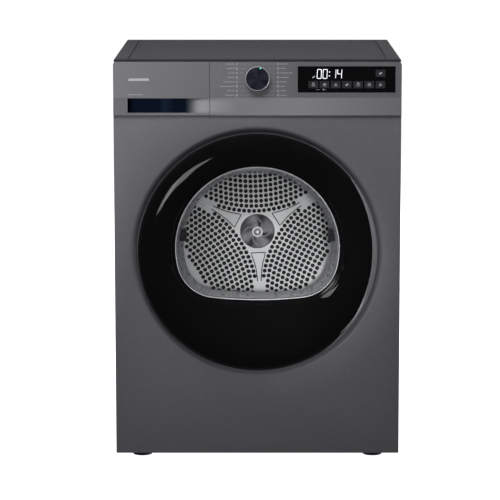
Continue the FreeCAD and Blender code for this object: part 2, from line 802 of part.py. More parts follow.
def roller(side):
    x, z = roller_centre(side)
    front_t = drum_front_t + 4
    wheel = turned([(roller_axle_radius + shaft_gap, front_t), (roller_radius - 1, front_t),
                    (roller_radius, front_t + 1), (roller_radius, front_t + roller_width - 1),
                    (roller_radius - 1, front_t + roller_width),
                    (roller_axle_radius + shaft_gap, front_t + roller_width)], x, z)
    return wheel


# Motor, belt and idler
def belt_normals():
    away = hypot(motor_x, motor_z - drum_z)
    heading = atan2(motor_z - drum_z, motor_x)
    lean = sqrt(1 - ((drum_radius - pulley_radius) / away) ** 2)
    spread = atan2(lean, (drum_radius - pulley_radius) / away)
    return heading - spread, heading + spread, heading


def belt_loop(grow):
    low, high, heading = belt_normals()
    big = drum_radius + running_gap + grow
    small = pulley_radius + running_gap + grow

    def rim(x, z, radius, angle):
        return place(x + radius * cos(angle), belt_t - belt_width / 2, z + radius * sin(angle))

    drum_arc = Part.Arc(rim(0, drum_z, big, high), rim(0, drum_z, -big, heading), rim(0, drum_z, big, low))
    pulley_arc = Part.Arc(rim(motor_x, motor_z, small, low), rim(motor_x, motor_z, small, heading),
                          rim(motor_x, motor_z, small, high))
    lower = Part.LineSegment(rim(0, drum_z, big, low), rim(motor_x, motor_z, small, low))
    upper = Part.LineSegment(rim(motor_x, motor_z, small, high), rim(0, drum_z, big, high))
    wire = Part.Wire([drum_arc.toShape(), lower.toShape(), pulley_arc.toShape(), upper.toShape()])
    return outward(Part.Face(wire).extrude(Vector(0, belt_width, 0)))


def drive_belt():
    return belt_loop(belt_thickness).cut(belt_loop(0))


def idler_centre():
    low = belt_normals()[0]
    big = drum_radius + running_gap
    small = pulley_radius + running_gap
    x = (big * cos(low) + motor_x + small * cos(low)) / 2
    z = (drum_z + big * sin(low) + motor_z + small * sin(low)) / 2
    reach = belt_thickness + running_gap + idler_radius
    return x + reach * cos(low), z + reach * sin(low)


def idler_wheel():
    x, z = idler_centre()
    return tube(idler_radius, idler_axle_radius + shaft_gap, x, z, belt_t - 8, belt_t + 8)


def idler_arm():
    x, z = idler_centre()
    plate_t = belt_t + 8 + running_gap
    length = hypot(x - idler_pivot_x, z - idler_pivot_z)
    slope = degrees(atan2(z - idler_pivot_z, x - idler_pivot_x))
    strip = box(0, length, plate_t, plate_t + 4, -9, 9)
    strip.rotate(place(0, 0, 0), Vector(0, -1, 0), slope)
    strip.translate(Vector(idler_pivot_x, 0, idler_pivot_z))
    ends = [disc(9, idler_pivot_x, idler_pivot_z, plate_t, plate_t + 4), disc(9, x, z, plate_t, plate_t + 4),
            disc(idler_axle_radius, x, z, belt_t - 9, plate_t)]
    return fused(strip, *ends).cut(disc(idler_axle_radius + shaft_gap, idler_pivot_x, idler_pivot_z,
                                        plate_t - 1, plate_t + 5))


def motor_housing():
    front_t = motor_front_t
    back_t = motor_front_t + motor_length
    can = disc(motor_radius, motor_x, motor_z, front_t, back_t)
    can = can.cut(disc(motor_radius - 5, motor_x, motor_z, front_t + 5, back_t - 5))
    winding = tube(motor_radius - 5, motor_radius - 9, motor_x, motor_z, front_t + 25, back_t - 25)
    feet = [box(motor_x - 45, motor_x + 45, front_t + 12 + step, front_t + 20 + step, tray_bottom_z + base_floor,
                motor_z - motor_radius + 12) for step in (0, motor_length - 32)]
    body = fused(can, winding, *feet)
    body = body.cut(disc(motor_radius - 9, motor_x, motor_z, front_t + 5, back_t - 5))
    return body.cut(disc(motor_shaft_radius + shaft_gap, motor_x, motor_z, front_t - 1, back_t + 1))


def motor_rotor():
    back_t = motor_front_t + motor_length
    shaft = disc(motor_shaft_radius, motor_x, motor_z, belt_t - pulley_width / 2, back_t + 12 + blower_width)
    core = disc(motor_radius - 12, motor_x, motor_z, motor_front_t + 27, back_t - 27)
    pulley = disc(pulley_radius, motor_x, motor_z, belt_t - pulley_width / 2, belt_t + pulley_width / 2)
    return fused(shaft, core, pulley)


def blower_wheel():
    front_t = motor_front_t + motor_length + 12
    back_t = front_t + blower_width
    hub = tube(14, motor_shaft_radius, motor_x, motor_z, front_t, back_t)
    disc_plate = tube(blower_radius, motor_shaft_radius, motor_x, motor_z, front_t, front_t + 2)
    vane = box(motor_x + 30, motor_x + blower_radius - 1, front_t, back_t, motor_z - 1, motor_z + 1)
    vanes = [spun(vane, index * 360 / 16, motor_x, motor_z) for index in range(16)]
    rim = tube(blower_radius, blower_radius - 3, motor_x, motor_z, back_t - 3, back_t)
    return fused(disc_plate, hub, rim, *vanes)


def fan_housing():
    front_t = motor_front_t + motor_length + 6
    back_t = front_t + blower_width + 14
    outer = blower_radius + 9 + fan_wall
    can = disc(outer, motor_x, motor_z, front_t, back_t)
    can = can.cut(disc(outer - fan_wall, motor_x, motor_z, front_t + fan_wall, back_t - fan_wall))
    spout = box(motor_x + 20, motor_x + outer, front_t, back_t, motor_z, motor_z + outer + 8)
    spout_inside = box(motor_x + 20 + fan_wall, motor_x + outer - fan_wall, front_t + fan_wall,
                       back_t - fan_wall, motor_z, motor_z + outer + 9)
    foot = box(motor_x - 40, motor_x + 40, front_t + 12, front_t + 22, tray_bottom_z + base_floor,
               motor_z - outer + 8)
    body = fused(can, spout, foot).cut(spout_inside)
    body = body.cut(disc(outer - fan_wall, motor_x, motor_z, front_t + fan_wall, back_t - fan_wall))
    body = body.cut(disc(motor_shaft_radius + 4, motor_x, motor_z, front_t - 1, front_t + fan_wall + 1))
    return body.cut(disc(34, motor_x, motor_z, back_t - fan_wall - 1, back_t + 1))


# Heat pump
def exchanger(front_t):
    right_x = exchanger_left_x + exchanger_width
    top_z = exchanger_floor_z + exchanger_height
    fins = int(exchanger_width // fin_pitch)
    plates = []
    for index in range(fins + 1):
        x = exchanger_left_x + index * (exchanger_width - 1) / fins
        plates.append(box(x, x + 1, front_t, front_t + exchanger_length, exchanger_floor_z, top_z))
    tubes = []
    for row in range(3):
        for level in range(4):
            t = front_t + exchanger_length * (row + 0.5) / 3
            z = exchanger_floor_z + exchanger_height * (level + 0.5) / 4
            tubes.append(bar(5, t, z, exchanger_left_x, right_x + 6))
    return fused(plates[0], *(plates[1:] + tubes))


def heat_exchangers():
    second_t = exchanger_front_t + exchanger_length + exchanger_gap
    return Part.makeCompound([exchanger(exchanger_front_t), exchanger(second_t)])


def compressor():
    floor_z = tray_bottom_z + base_floor
    can = post(compressor_radius, compressor_x, compressor_t, floor_z + 12, floor_z + 12 + compressor_height)
    can = can.makeFillet(14, can.Edges[:1] + can.Edges[2:])
    feet = [post(9, compressor_x + dx, compressor_t + dt, floor_z, floor_z + 14)
            for dx in (-32, 32) for dt in (-32, 32)]
    base = box(compressor_x - 40, compressor_x + 40, compressor_t - 40, compressor_t + 40, floor_z + 12,
               floor_z + 17)
    return fused(can, base, *feet)


def pipe(points):
    pieces = []
    for start, end in zip(points, points[1:]):
        run = end.sub(start)
        pieces.append(Part.makeCylinder(pipe_radius, run.Length, start, run))
    for corner in points[1:-1]:
        pieces.append(Part.makeSphere(pipe_radius, corner))
    return fused(*pieces)


def refrigerant_pipes():
    coil_x = exchanger_left_x + exchanger_width + 6
    rear_t = exchanger_front_t + exchanger_length * 1.5 + exchanger_gap
    low_z = exchanger_floor_z + exchanger_height * 0.375
    high_z = exchanger_floor_z + exchanger_height * 0.125
    shell_x = compressor_x - compressor_radius
    delivery = pipe([place(coil_x, rear_t, low_z), place(coil_x + 40, rear_t, low_z),
                     place(coil_x + 40, compressor_t + 20, low_z + 20), place(shell_x + 6, compressor_t + 20, low_z + 20)])
    front_row_t = exchanger_front_t + exchanger_length / 2
    suction = pipe([place(coil_x, front_row_t, high_z), place(coil_x + 30, front_row_t, high_z),
                    place(coil_x + 30, compressor_t - 20, high_z + 12), place(shell_x + 6, compressor_t - 20, high_z + 12)])
    shell = post(compressor_radius, compressor_x, compressor_t, 0, 300)
    return Part.makeCompound([delivery.cut(shell), suction.cut(shell)])


def condensate_pump():
    floor_z = tray_bottom_z + base_floor
    body = post(pump_radius, pump_x, pump_t, floor_z, floor_z + pump_height)
    cap = post(pump_radius - 6, pump_x, pump_t, floor_z + pump_height, floor_z + pump_height + 10)
    spigot = bar(6, pump_t, floor_z + 12, pump_x, pump_x + pump_radius + 18)
    return fused(body, cap, spigot).cut(bar(4, pump_t, floor_z + 12, pump_x + 10, pump_x + pump_radius + 19))


# Condensate tank in its tray
def tank_body():
    front_t = front_return
    outer = box(tank_left_x, tank_right_x, front_t, front_t + tank_length, tank_bottom_z, tank_top_z)
    inner = hollow_box(tank_left_x, tank_right_x, front_t, front_t + tank_length, tank_bottom_z, tank_top_z,
                       tank_wall)
    mouth = box(tank_left_x + 30, tank_right_x - 30, front_t + 20, front_t + 90, tank_top_z - 5, tank_top_z + 1)
    return outer.cut(inner).cut(mouth)


def tank_tray():
    left = tank_left_x - 1 - tray_wall
    right = tank_right_x + 1 + tray_wall
    front_t = front_return + 1.5
    low = tank_bottom_z - running_gap - tray_wall
    outer = box(left, right, front_t, rear_bulkhead_t, low, tank_top_z - 6)
    return outer.cut(box(left + tray_wall, right - tray_wall, front_t - 1, rear_bulkhead_t - tray_wall,
                         tank_bottom_z - running_gap, tank_top_z))


# Base tray with the foot bosses, rails and the idler's bracket
def foot_places():
    return [("foot_front_left", -foot_x, foot_front_t), ("foot_front_right", foot_x, foot_front_t),
            ("foot_rear_left", -foot_x, foot_rear_t), ("foot_rear_right", foot_x, foot_rear_t)]


def base_tray():
    half = width / 2 - sheet - running_gap
    back_t = rear_panel_t - sheet - running_gap
    floor_z = tray_bottom_z + base_floor
    front_t = edge_radius + 1
    body = box(-half, half, front_t, back_t, tray_bottom_z, base_rim_z)
    body = body.cut(box(-half + 3, half - 3, front_t + 3, back_t - 3, floor_z, base_rim_z + 1))
    parts = [post(foot_boss_radius, x, t, tray_bottom_z, base_rim_z) for name, x, t in foot_places()]
    for start in (exchanger_front_t, exchanger_front_t + exchanger_length + exchanger_gap):
        for step in (10, exchanger_length - 20):
            parts.append(box(exchanger_left_x, exchanger_left_x + exchanger_width, start + step,
                             start + step + 10, floor_z - 1, exchanger_floor_z))
    plate_t = belt_t + 8 + running_gap + 4 + running_gap
    parts.append(box(idler_pivot_x - 16, idler_pivot_x + 16, plate_t, plate_t + 5, floor_z - 1,
                     idler_pivot_z + 12))
    parts.append(disc(idler_axle_radius, idler_pivot_x, idler_pivot_z, plate_t - 5, plate_t))
    body = fused(body, *parts)
    for name, x, t in foot_places():
        body = body.cut(post(foot_stud_radius + shaft_gap, x, t, tray_bottom_z - 1, base_rim_z + 1))
    return body


def foot(x, t):
    pad_top = tray_bottom_z - running_gap
    pad = post(foot_pad_radius, x, t, 0, pad_top - 6)
    pad = pad.makeFillet(2, pad.Edges[:1])
    nut = post(foot_pad_radius - 6, x, t, pad_top - 6, pad_top)
    stud = post(foot_stud_radius, x, t, pad_top - 6, base_rim_z)
    return fused(pad, nut, stud)


def write(name, shape):
    shape.exportStep("parts/" + name + ".step")
    print(name, len(shape.Solids), "solids", round(shape.Volume / 1000, 1), "cm3", shape.isValid())


os.makedirs("parts", exist_ok=True)

left_side = side_panel()
pieces = {
    "base_tray": base_tray(),
    "left_side_panel": left_side,
    "right_side_panel": mirrored(left_side),
    "rear_panel": rear_panel(),
    "rear_duct_cover": rear_duct_cover(),
    "mains_gland": mains_gland(),
    "front_panel": front_panel(),
    "worktop_frame": worktop_frame(),
    "worktop_board": worktop_board(),
    "control_fascia": control_fascia(),
    "display_window": display_window(),
    "dial_bezel": dial_bezel(),
    "dial_knob": dial_knob(),
    "front_bulkhead": front_bulkhead(),
    "door_seal": door_seal(),
    "air_duct": air_duct(),
    "lint_filter": lint_filter(),
    "hinge_bracket": hinge_bracket(),
    "latch_housing": latch_housing(),
    "door_front_ring": door_front_ring(),
    "door_window_bowl": door_window_bowl(),
    "door_back_frame": door_back_frame(),
    "door_grip": grip_crescent(),
    "door_hinge_arm": door_hinge_arm(),
    "door_latch_hook": door_latch_hook(),
    "drum_shell": drum_shell(),
    "drum_rear_wall": drum_rear_wall(),
    "drum_lifters": drum_lifters(),
    "drum_hub": drum_hub(),
    "drum_shaft": drum_shaft(),
    "rear_bulkhead": rear_bulkhead(),
    "drum_bearing": drum_bearing(),
    "roller_left": roller(-1),
    "roller_right": roller(1),
    "drive_belt": drive_belt(),
    "idler_arm": idler_arm(),
    "idler_wheel": idler_wheel(),
    "motor_housing": motor_housing(),
    "motor_rotor": motor_rotor(),
    "blower_wheel": blower_wheel(),
    "fan_housing": fan_housing(),
    "heat_exchangers": heat_exchangers(),
    "compressor": compressor(),
    "refrigerant_pipes": refrigerant_pipes(),
    "condensate_pump": condensate_pump(),
    "tank_tray": tank_tray(),
    "tank_body": tank_body(),
    "drawer_front": drawer_front(),
}
for index, (x, z) in enumerate(key_centres()):
    pieces["key_" + str(index + 1)] = key(x, z)
for name, x, t in foot_places():
    pieces[name] = foot(x, t)

for name, shape in pieces.items():
    write(name, shape)
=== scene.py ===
import bpy
import bmesh
import json
from math import asin, atan2, cos, hypot, pi, radians, sin, sqrt
from mathutils import Matrix, Vector


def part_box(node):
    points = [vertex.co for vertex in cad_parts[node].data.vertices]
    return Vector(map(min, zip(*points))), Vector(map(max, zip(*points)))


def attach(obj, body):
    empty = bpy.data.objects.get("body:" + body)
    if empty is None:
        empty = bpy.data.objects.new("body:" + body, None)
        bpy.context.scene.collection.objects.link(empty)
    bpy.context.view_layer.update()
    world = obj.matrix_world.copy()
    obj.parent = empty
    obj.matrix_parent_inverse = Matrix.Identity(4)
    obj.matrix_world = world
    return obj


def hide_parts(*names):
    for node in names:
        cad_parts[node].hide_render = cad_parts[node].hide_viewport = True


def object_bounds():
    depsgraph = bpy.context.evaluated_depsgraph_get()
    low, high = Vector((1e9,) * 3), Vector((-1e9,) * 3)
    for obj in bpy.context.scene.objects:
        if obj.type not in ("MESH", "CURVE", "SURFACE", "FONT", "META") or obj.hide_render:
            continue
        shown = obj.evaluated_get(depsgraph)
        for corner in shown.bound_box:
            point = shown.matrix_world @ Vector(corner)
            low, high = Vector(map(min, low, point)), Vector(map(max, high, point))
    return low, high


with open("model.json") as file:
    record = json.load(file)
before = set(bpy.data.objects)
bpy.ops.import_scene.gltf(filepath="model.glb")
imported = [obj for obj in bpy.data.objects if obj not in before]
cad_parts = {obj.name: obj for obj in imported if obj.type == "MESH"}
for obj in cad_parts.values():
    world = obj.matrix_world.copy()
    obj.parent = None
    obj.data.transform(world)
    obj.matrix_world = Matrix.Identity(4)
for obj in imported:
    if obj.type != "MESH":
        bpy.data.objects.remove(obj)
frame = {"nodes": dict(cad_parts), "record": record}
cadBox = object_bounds()
mm = 0.001
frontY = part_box("front_panel")[0][1]  # outer face of the front panel
centreLine = 0.0

# ---------------------------------------------------------------- placing helpers
# t is depth in millimetres behind the front panel's face; x and z are millimetres too


def at(x, t, z):
    return Vector((x * mm, frontY + t * mm, z * mm))


def boxOf(node):
    low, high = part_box(node)
    return {
        "x0": low[0] / mm, "x1": high[0] / mm,
        "t0": (low[1] - frontY) / mm, "t1": (high[1] - frontY) / mm,
        "z0": low[2] / mm, "z1": high[2] / mm,
        "x": (low[0] + high[0]) / 2 / mm, "z": (low[2] + high[2]) / 2 / mm,
    }


def deselect():
    active = bpy.context.view_layer.objects.active
    if active and active.mode != "OBJECT":
        bpy.ops.object.mode_set(mode="OBJECT")
    bpy.ops.object.select_all(action="DESELECT")


def only(piece):
    deselect()
    piece.select_set(True)
    bpy.context.view_layer.objects.active = piece


def settle(piece):
    only(piece)
    bpy.ops.object.transform_apply(location=True, rotation=True, scale=True)


def applyAll(piece):
    only(piece)
    for modifier in list(piece.modifiers):
        bpy.ops.object.modifier_apply(modifier=modifier.name)


def roundOff(piece, width, segments=2, angle=30):
    bevel = piece.modifiers.new("bevel", "BEVEL")
    bevel.width = width * mm
    bevel.segments = segments
    bevel.limit_method = "ANGLE"
    bevel.angle_limit = radians(angle)
    bevel.harden_normals = False
    applyAll(piece)


def smooth(piece, angle=32, even=False, crease=None):
    only(piece)
    bpy.ops.object.shade_smooth_by_angle(angle=radians(angle))
    if crease:
        creaseSharp(piece, crease)
    if even:
        weigh = piece.modifiers.new("weigh", "WEIGHTED_NORMAL")
        weigh.keep_sharp = True
        weigh.weight = 80
        applyAll(piece)


def cutAway(piece, cutter, solver="EXACT"):
    cut = piece.modifiers.new("cut", "BOOLEAN")
    cut.operation = "DIFFERENCE"
    cut.solver = solver
    cut.object = cutter
    applyAll(piece)
    bpy.data.objects.remove(cutter)


def joined(name, pieces):
    deselect()
    for piece in pieces:
        piece.select_set(True)
    bpy.context.view_layer.objects.active = pieces[0]
    if len(pieces) > 1:
        bpy.ops.object.join()
    pieces[0].name = name
    return pieces[0]


def copyOf(piece, name):
    twin = piece.copy()
    twin.data = piece.data.copy()
    twin.name = name
    bpy.context.collection.objects.link(twin)
    return twin


def turnAbout(piece, x, z, angle):
    only(piece)
    for vertex in piece.data.vertices:
        dx = vertex.co.x - x * mm
        dz = vertex.co.z - z * mm
        vertex.co.x = x * mm + dx * cos(angle) - dz * sin(angle)
        vertex.co.z = z * mm + dx * sin(angle) + dz * cos(angle)


def pickFaces(piece, test):
    # edit mode with just the faces that pass the test selected
    only(piece)
    bpy.ops.object.mode_set(mode="EDIT")
    bpy.ops.mesh.select_all(action="DESELECT")
    build = bmesh.from_edit_mesh(piece.data)
    for face in [face for face in build.faces if test(face)]:
        face.select = True
    bmesh.update_edit_mesh(piece.data)


def boxPiece(name, x0, x1, t0, t1, z0, z1, bevel=0.0, segments=2):
    deselect()
    bpy.ops.mesh.primitive_cube_add(size=1, location=at((x0 + x1) / 2, (t0 + t1) / 2, (z0 + z1) / 2))
    piece = bpy.context.object
    piece.name = name
    piece.scale = ((x1 - x0) * mm, (t1 - t0) * mm, (z1 - z0) * mm)
    settle(piece)
    if bevel:
        roundOff(piece, bevel, segments)
    return piece


def rod(name, x, z, radius, t0, t1, sides=48, bevel=0.0):
    deselect()
    bpy.ops.mesh.primitive_cylinder_add(vertices=sides, radius=radius * mm, depth=(t1 - t0) * mm,
                                        location=at(x, (t0 + t1) / 2, z), rotation=(pi / 2, 0, 0))
    piece = bpy.context.object
    piece.name = name
    settle(piece)
    if bevel:
        roundOff(piece, bevel, 2)
    return piece


# ---------------------------------------------------------------- rings: circles, D outlines and mixes of the two
opening = boxOf("door_seal")
dee = {"side": 168.0, "corner": 80.0, "floor": 850.0, "drop": 106.0}
openingZ = opening["z1"] - dee["side"] - 9.0
windowZ = openingZ + 3.0


def circle(radius, t, fillet=0.0):
    return (radius, 0.0, 0.0, 0.0, t, fillet)


def deeRing(grow, t, fillet=0.0, taper=0.0):
    return (0.0, grow, taper, 1.0, t, fillet)


def mixRing(radius, grow, share, t, fillet=0.0):
    return (radius, grow, 0.0, share, t, fillet)


def deeReach(grow, taper):
    side = dee["side"] + grow - taper
    corner = dee["corner"] + grow - taper
    floor = dee["floor"] + grow
    drop = dee["drop"] + grow - taper / 3
    span = side - corner
    floorCentre = floor - drop
    down = (floorCentre ** 2 + span ** 2 - (floor - corner) ** 2) / (2 * floorCentre)
    out = sqrt(span ** 2 - down ** 2)
    topAngle = atan2(down, out)
    lean = atan2(down - floorCentre, out)
    floorAngle = atan2(floorCentre + floor * sin(lean), floor * cos(lean))

    def reach(angle):
        bearing = atan2(sin(angle), abs(cos(angle)))
        if bearing >= topAngle:
            return side
        if bearing >= floorAngle:
            along = out * cos(bearing) + down * sin(bearing)
            return along + sqrt(corner ** 2 - (span ** 2 - along ** 2))
        along = floorCentre * sin(bearing)
        return along + sqrt(floor ** 2 - (floorCentre ** 2 - along ** 2))

    return reach


def rounded(rings, closed=False):
    result = []
    last = len(rings) - 1
    for index, ring in enumerate(rings):
        fillet = ring[5]
        if fillet <= 0 or (not closed and index in (0, last)):
            result.append(ring[:5])
            continue
        before = rings[index - 1]
        after = rings[(index + 1) % len(rings)]
        ends = []
        for other in (before, after):
            gap = [other[k] - ring[k] for k in range(5)]
            length = hypot(gap[0] + gap[1] - gap[2], gap[4]) or 1.0
            share = min(0.48, fillet / length)
            ends.append([ring[k] + gap[k] * share for k in range(5)])
        for step in range(4):
            u = step / 3
            result.append(tuple(ends[0][k] * (1 - u) ** 2 + ring[k] * 2 * u * (1 - u) + ends[1][k] * u * u
                                for k in range(5)))
    return result


def ringPiece(name, centre, rings, count=96, closed=False, deeZ=None, capEnds=False):
    deselect()
    bpy.ops.mesh.primitive_circle_add(vertices=count, radius=1.0, rotation=(pi / 2, 0, 0))
    piece = bpy.context.object
    piece.name = name
    settle(piece)
    bpy.ops.object.mode_set(mode="EDIT")
    bpy.ops.mesh.select_all(action="SELECT")
    mesh = piece.data
    build = bmesh.from_edit_mesh(mesh)
    turn = build.verts.layers.float.new("turn")
    for vertex in build.verts:
        vertex[turn] = atan2(vertex.co.z, vertex.co.x)
    bmesh.update_edit_mesh(mesh)
    deeCentre = openingZ if deeZ is None else deeZ
    path = rounded(rings, closed)
    for index, (radius, grow, taper, share, t) in enumerate(path):
        if index:
            bpy.ops.mesh.extrude_region_move()
        reach = deeReach(grow, taper) if share > 0 else None
        build = bmesh.from_edit_mesh(mesh)
        turn = build.verts.layers.float["turn"]
        for vertex in build.verts:
            if not vertex.select:
                continue
            angle = vertex[turn]
            x = centre[0] + radius * cos(angle)
            z = centre[1] + radius * sin(angle)
            if share > 0:
                far = reach(angle)
                x += (far * cos(angle) - x) * share
                z += (deeCentre + far * sin(angle) - z) * share
            vertex.co = at(x, t, z)
        bmesh.update_edit_mesh(mesh)
    if capEnds:
        bpy.ops.mesh.edge_face_add()
        bpy.ops.mesh.select_all(action="DESELECT")
        bpy.ops.mesh.select_mode(type="EDGE")
        bpy.ops.mesh.select_non_manifold()
        bpy.ops.mesh.edge_face_add()
        bpy.ops.mesh.select_mode(type="VERT")
    if closed:
        build = bmesh.from_edit_mesh(mesh)
        bpy.ops.mesh.select_all(action="DESELECT")
        bpy.ops.mesh.select_mode(type="EDGE")
        bpy.ops.mesh.select_non_manifold()
        bpy.ops.mesh.bridge_edge_loops()
        bpy.ops.mesh.select_mode(type="VERT")
    bpy.ops.mesh.select_all(action="SELECT")
    bpy.ops.mesh.normals_make_consistent(inside=False)
    bpy.ops.object.mode_set(mode="OBJECT")
    mesh.attributes.remove(mesh.attributes["turn"])
    smooth(piece)
    return piece


# ---------------------------------------------------------------- shared shader groups


def node(tree, kind, **settings):
    made = tree.nodes.new(kind)
    for key, value in settings.items():
        setattr(made, key, value)
    return made


def feed(tree, socket, value):
    if isinstance(value, (int, float, tuple)):
        socket.default_value = value
    else:
        tree.links.new(value, socket)


def sumNode(tree, operation, first, second, third=None):
    made = node(tree, "ShaderNodeMath", operation=operation)
    feed(tree, made.inputs[0], first)
    feed(tree, made.inputs[1], second)
    if third is not None:
        feed(tree, made.inputs[2], third)
    return made.outputs[0]


def blendColours(tree, share, first, second, mode="MIX"):
    made = node(tree, "ShaderNodeMix", data_type="RGBA", blend_type=mode)
    feed(tree, made.inputs[0], share)
    feed(tree, made.inputs[6], first)
    feed(tree, made.inputs[7], second)
    return made.outputs[2]


def remap(tree, value, low, high, newLow=0.0, newHigh=1.0):
    made = node(tree, "ShaderNodeMapRange")
    feed(tree, made.inputs[0], value)
    for index, number in enumerate((low, high, newLow, newHigh)):
        made.inputs[index + 1].default_value = number
    return made.outputs[0]


def newGroup(name, inputs, outputs):
    tree = bpy.data.node_groups.new(name, "ShaderNodeTree")
    for label, kind, value in inputs:
        socket = tree.interface.new_socket(label, in_out="INPUT", socket_type=kind)
        socket.default_value = value
    for label, kind in outputs:
        tree.interface.new_socket(label, in_out="OUTPUT", socket_type=kind)
    return tree, tree.nodes.new("NodeGroupInput"), tree.nodes.new("NodeGroupOutput")


floatKind = "NodeSocketFloat"
colourKind = "NodeSocketColor"
vectorKind = "NodeSocketVector"


def makeGrain():
    tree, inside, out = newGroup("fineGrain", [("Size", floatKind, 1.0), ("Roughness", floatKind, 0.4),
                                               ("Spread", floatKind, 0.06)],
                                 [("Roughness", floatKind), ("Height", floatKind), ("Cloud", floatKind)])
    coords = node(tree, "ShaderNodeTexCoord")
    fine = node(tree, "ShaderNodeTexNoise")
    fine.inputs["Detail"].default_value = 3.0
    feed(tree, fine.inputs["Vector"], coords.outputs["Object"])
    feed(tree, fine.inputs["Scale"], sumNode(tree, "DIVIDE", 1400.0, inside.outputs["Size"]))
    cloud = node(tree, "ShaderNodeTexNoise")
    cloud.inputs["Scale"].default_value = 5.5
    cloud.inputs["Detail"].default_value = 4.0
    feed(tree, cloud.inputs["Vector"], coords.outputs["Object"])
    shift = sumNode(tree, "SUBTRACT", cloud.outputs["Fac"], 0.5)
    speckle = sumNode(tree, "SUBTRACT", fine.outputs["Fac"], 0.5)
    both = sumNode(tree, "ADD", shift, sumNode(tree, "MULTIPLY", speckle, 0.6))
    rough = sumNode(tree, "MULTIPLY_ADD", both, inside.outputs["Spread"], inside.outputs["Roughness"])
    feed(tree, out.inputs["Roughness"], rough)
    feed(tree, out.inputs["Height"], fine.outputs["Fac"])
    feed(tree, out.inputs["Cloud"], cloud.outputs["Fac"])
    return tree


def makeBrush():
    tree, inside, out = newGroup("brushLines", [("Stretch", vectorKind, (1.0, 1.0, 1.0)),
                                                ("Roughness", floatKind, 0.3), ("Spread", floatKind, 0.1)],
                                 [("Roughness", floatKind), ("Height", floatKind)])
    coords = node(tree, "ShaderNodeTexCoord")
    stretch = node(tree, "ShaderNodeVectorMath", operation="MULTIPLY")
    feed(tree, stretch.inputs[0], coords.outputs["Object"])
    feed(tree, stretch.inputs[1], inside.outputs["Stretch"])
    lines = node(tree, "ShaderNodeTexNoise")
    lines.inputs["Scale"].default_value = 220.0
    lines.inputs["Detail"].default_value = 5.0
    feed(tree, lines.inputs["Vector"], stretch.outputs[0])
    shift = sumNode(tree, "SUBTRACT", lines.outputs["Fac"], 0.5)
    feed(tree, out.inputs["Roughness"],
         sumNode(tree, "MULTIPLY_ADD", shift, inside.outputs["Spread"], inside.outputs["Roughness"]))
    feed(tree, out.inputs["Height"], lines.outputs["Fac"])
    return tree


def makeDust():
    tree, inside, out = newGroup("settledDust", [("Color", colourKind, (0.1, 0.1, 0.1, 1.0)),
                                                 ("Amount", floatKind, 0.1)], [("Color", colourKind)])
    shape = node(tree, "ShaderNodeNewGeometry")
    parts = node(tree, "ShaderNodeSeparateXYZ")
    feed(tree, parts.inputs[0], shape.outputs["Normal"])
    coords = node(tree, "ShaderNodeTexCoord")
    patches = node(tree, "ShaderNodeTexNoise")
    patches.inputs["Scale"].default_value = 38.0
    patches.inputs["Detail"].default_value = 6.0
    feed(tree, patches.inputs["Vector"], coords.outputs["Object"])
    upward = remap(tree, parts.outputs[2], 0.2, 1.0)
    ragged = remap(tree, patches.outputs["Fac"], 0.35, 0.7)
    share = sumNode(tree, "MULTIPLY", sumNode(tree, "MULTIPLY", upward, ragged), inside.outputs["Amount"])
    feed(tree, out.inputs["Color"], blendColours(tree, share, inside.outputs["Color"], (0.32, 0.31, 0.29, 1.0)))
    return tree


def makeWear():
    tree, inside, out = newGroup("edgeWear", [("Color", colourKind, (0.1, 0.1, 0.1, 1.0)),
                                              ("Worn", colourKind, (0.4, 0.4, 0.4, 1.0)),
                                              ("Amount", floatKind, 0.3)],
                                 [("Color", colourKind), ("Mask", floatKind)])
    shape = node(tree, "ShaderNodeNewGeometry")
    coords = node(tree, "ShaderNodeTexCoord")
    chips = node(tree, "ShaderNodeTexNoise")
    chips.inputs["Scale"].default_value = 130.0
    feed(tree, chips.inputs["Vector"], coords.outputs["Object"])
    sharp = remap(tree, shape.outputs["Pointiness"], 0.52, 0.62)
    broken = remap(tree, chips.outputs["Fac"], 0.4, 0.65)
    mask = sumNode(tree, "MULTIPLY", sumNode(tree, "MULTIPLY", sharp, broken), inside.outputs["Amount"])
    feed(tree, out.inputs["Color"], blendColours(tree, mask, inside.outputs["Color"], inside.outputs["Worn"]))
    feed(tree, out.inputs["Mask"], mask)
    return tree


groups = {"grain": makeGrain(), "brush": makeBrush(), "dust": makeDust(), "wear": makeWear()}


def use(tree, name, **values):
    made = node(tree, "ShaderNodeGroup")
    made.node_tree = groups[name]
    for label, value in values.items():
        feed(tree, made.inputs[label], value)
    return made


def startMaterial(name):
    material = bpy.data.materials.new(name)
    material.use_nodes = True
    tree = material.node_tree
    return material, tree, tree.nodes["Principled BSDF"]


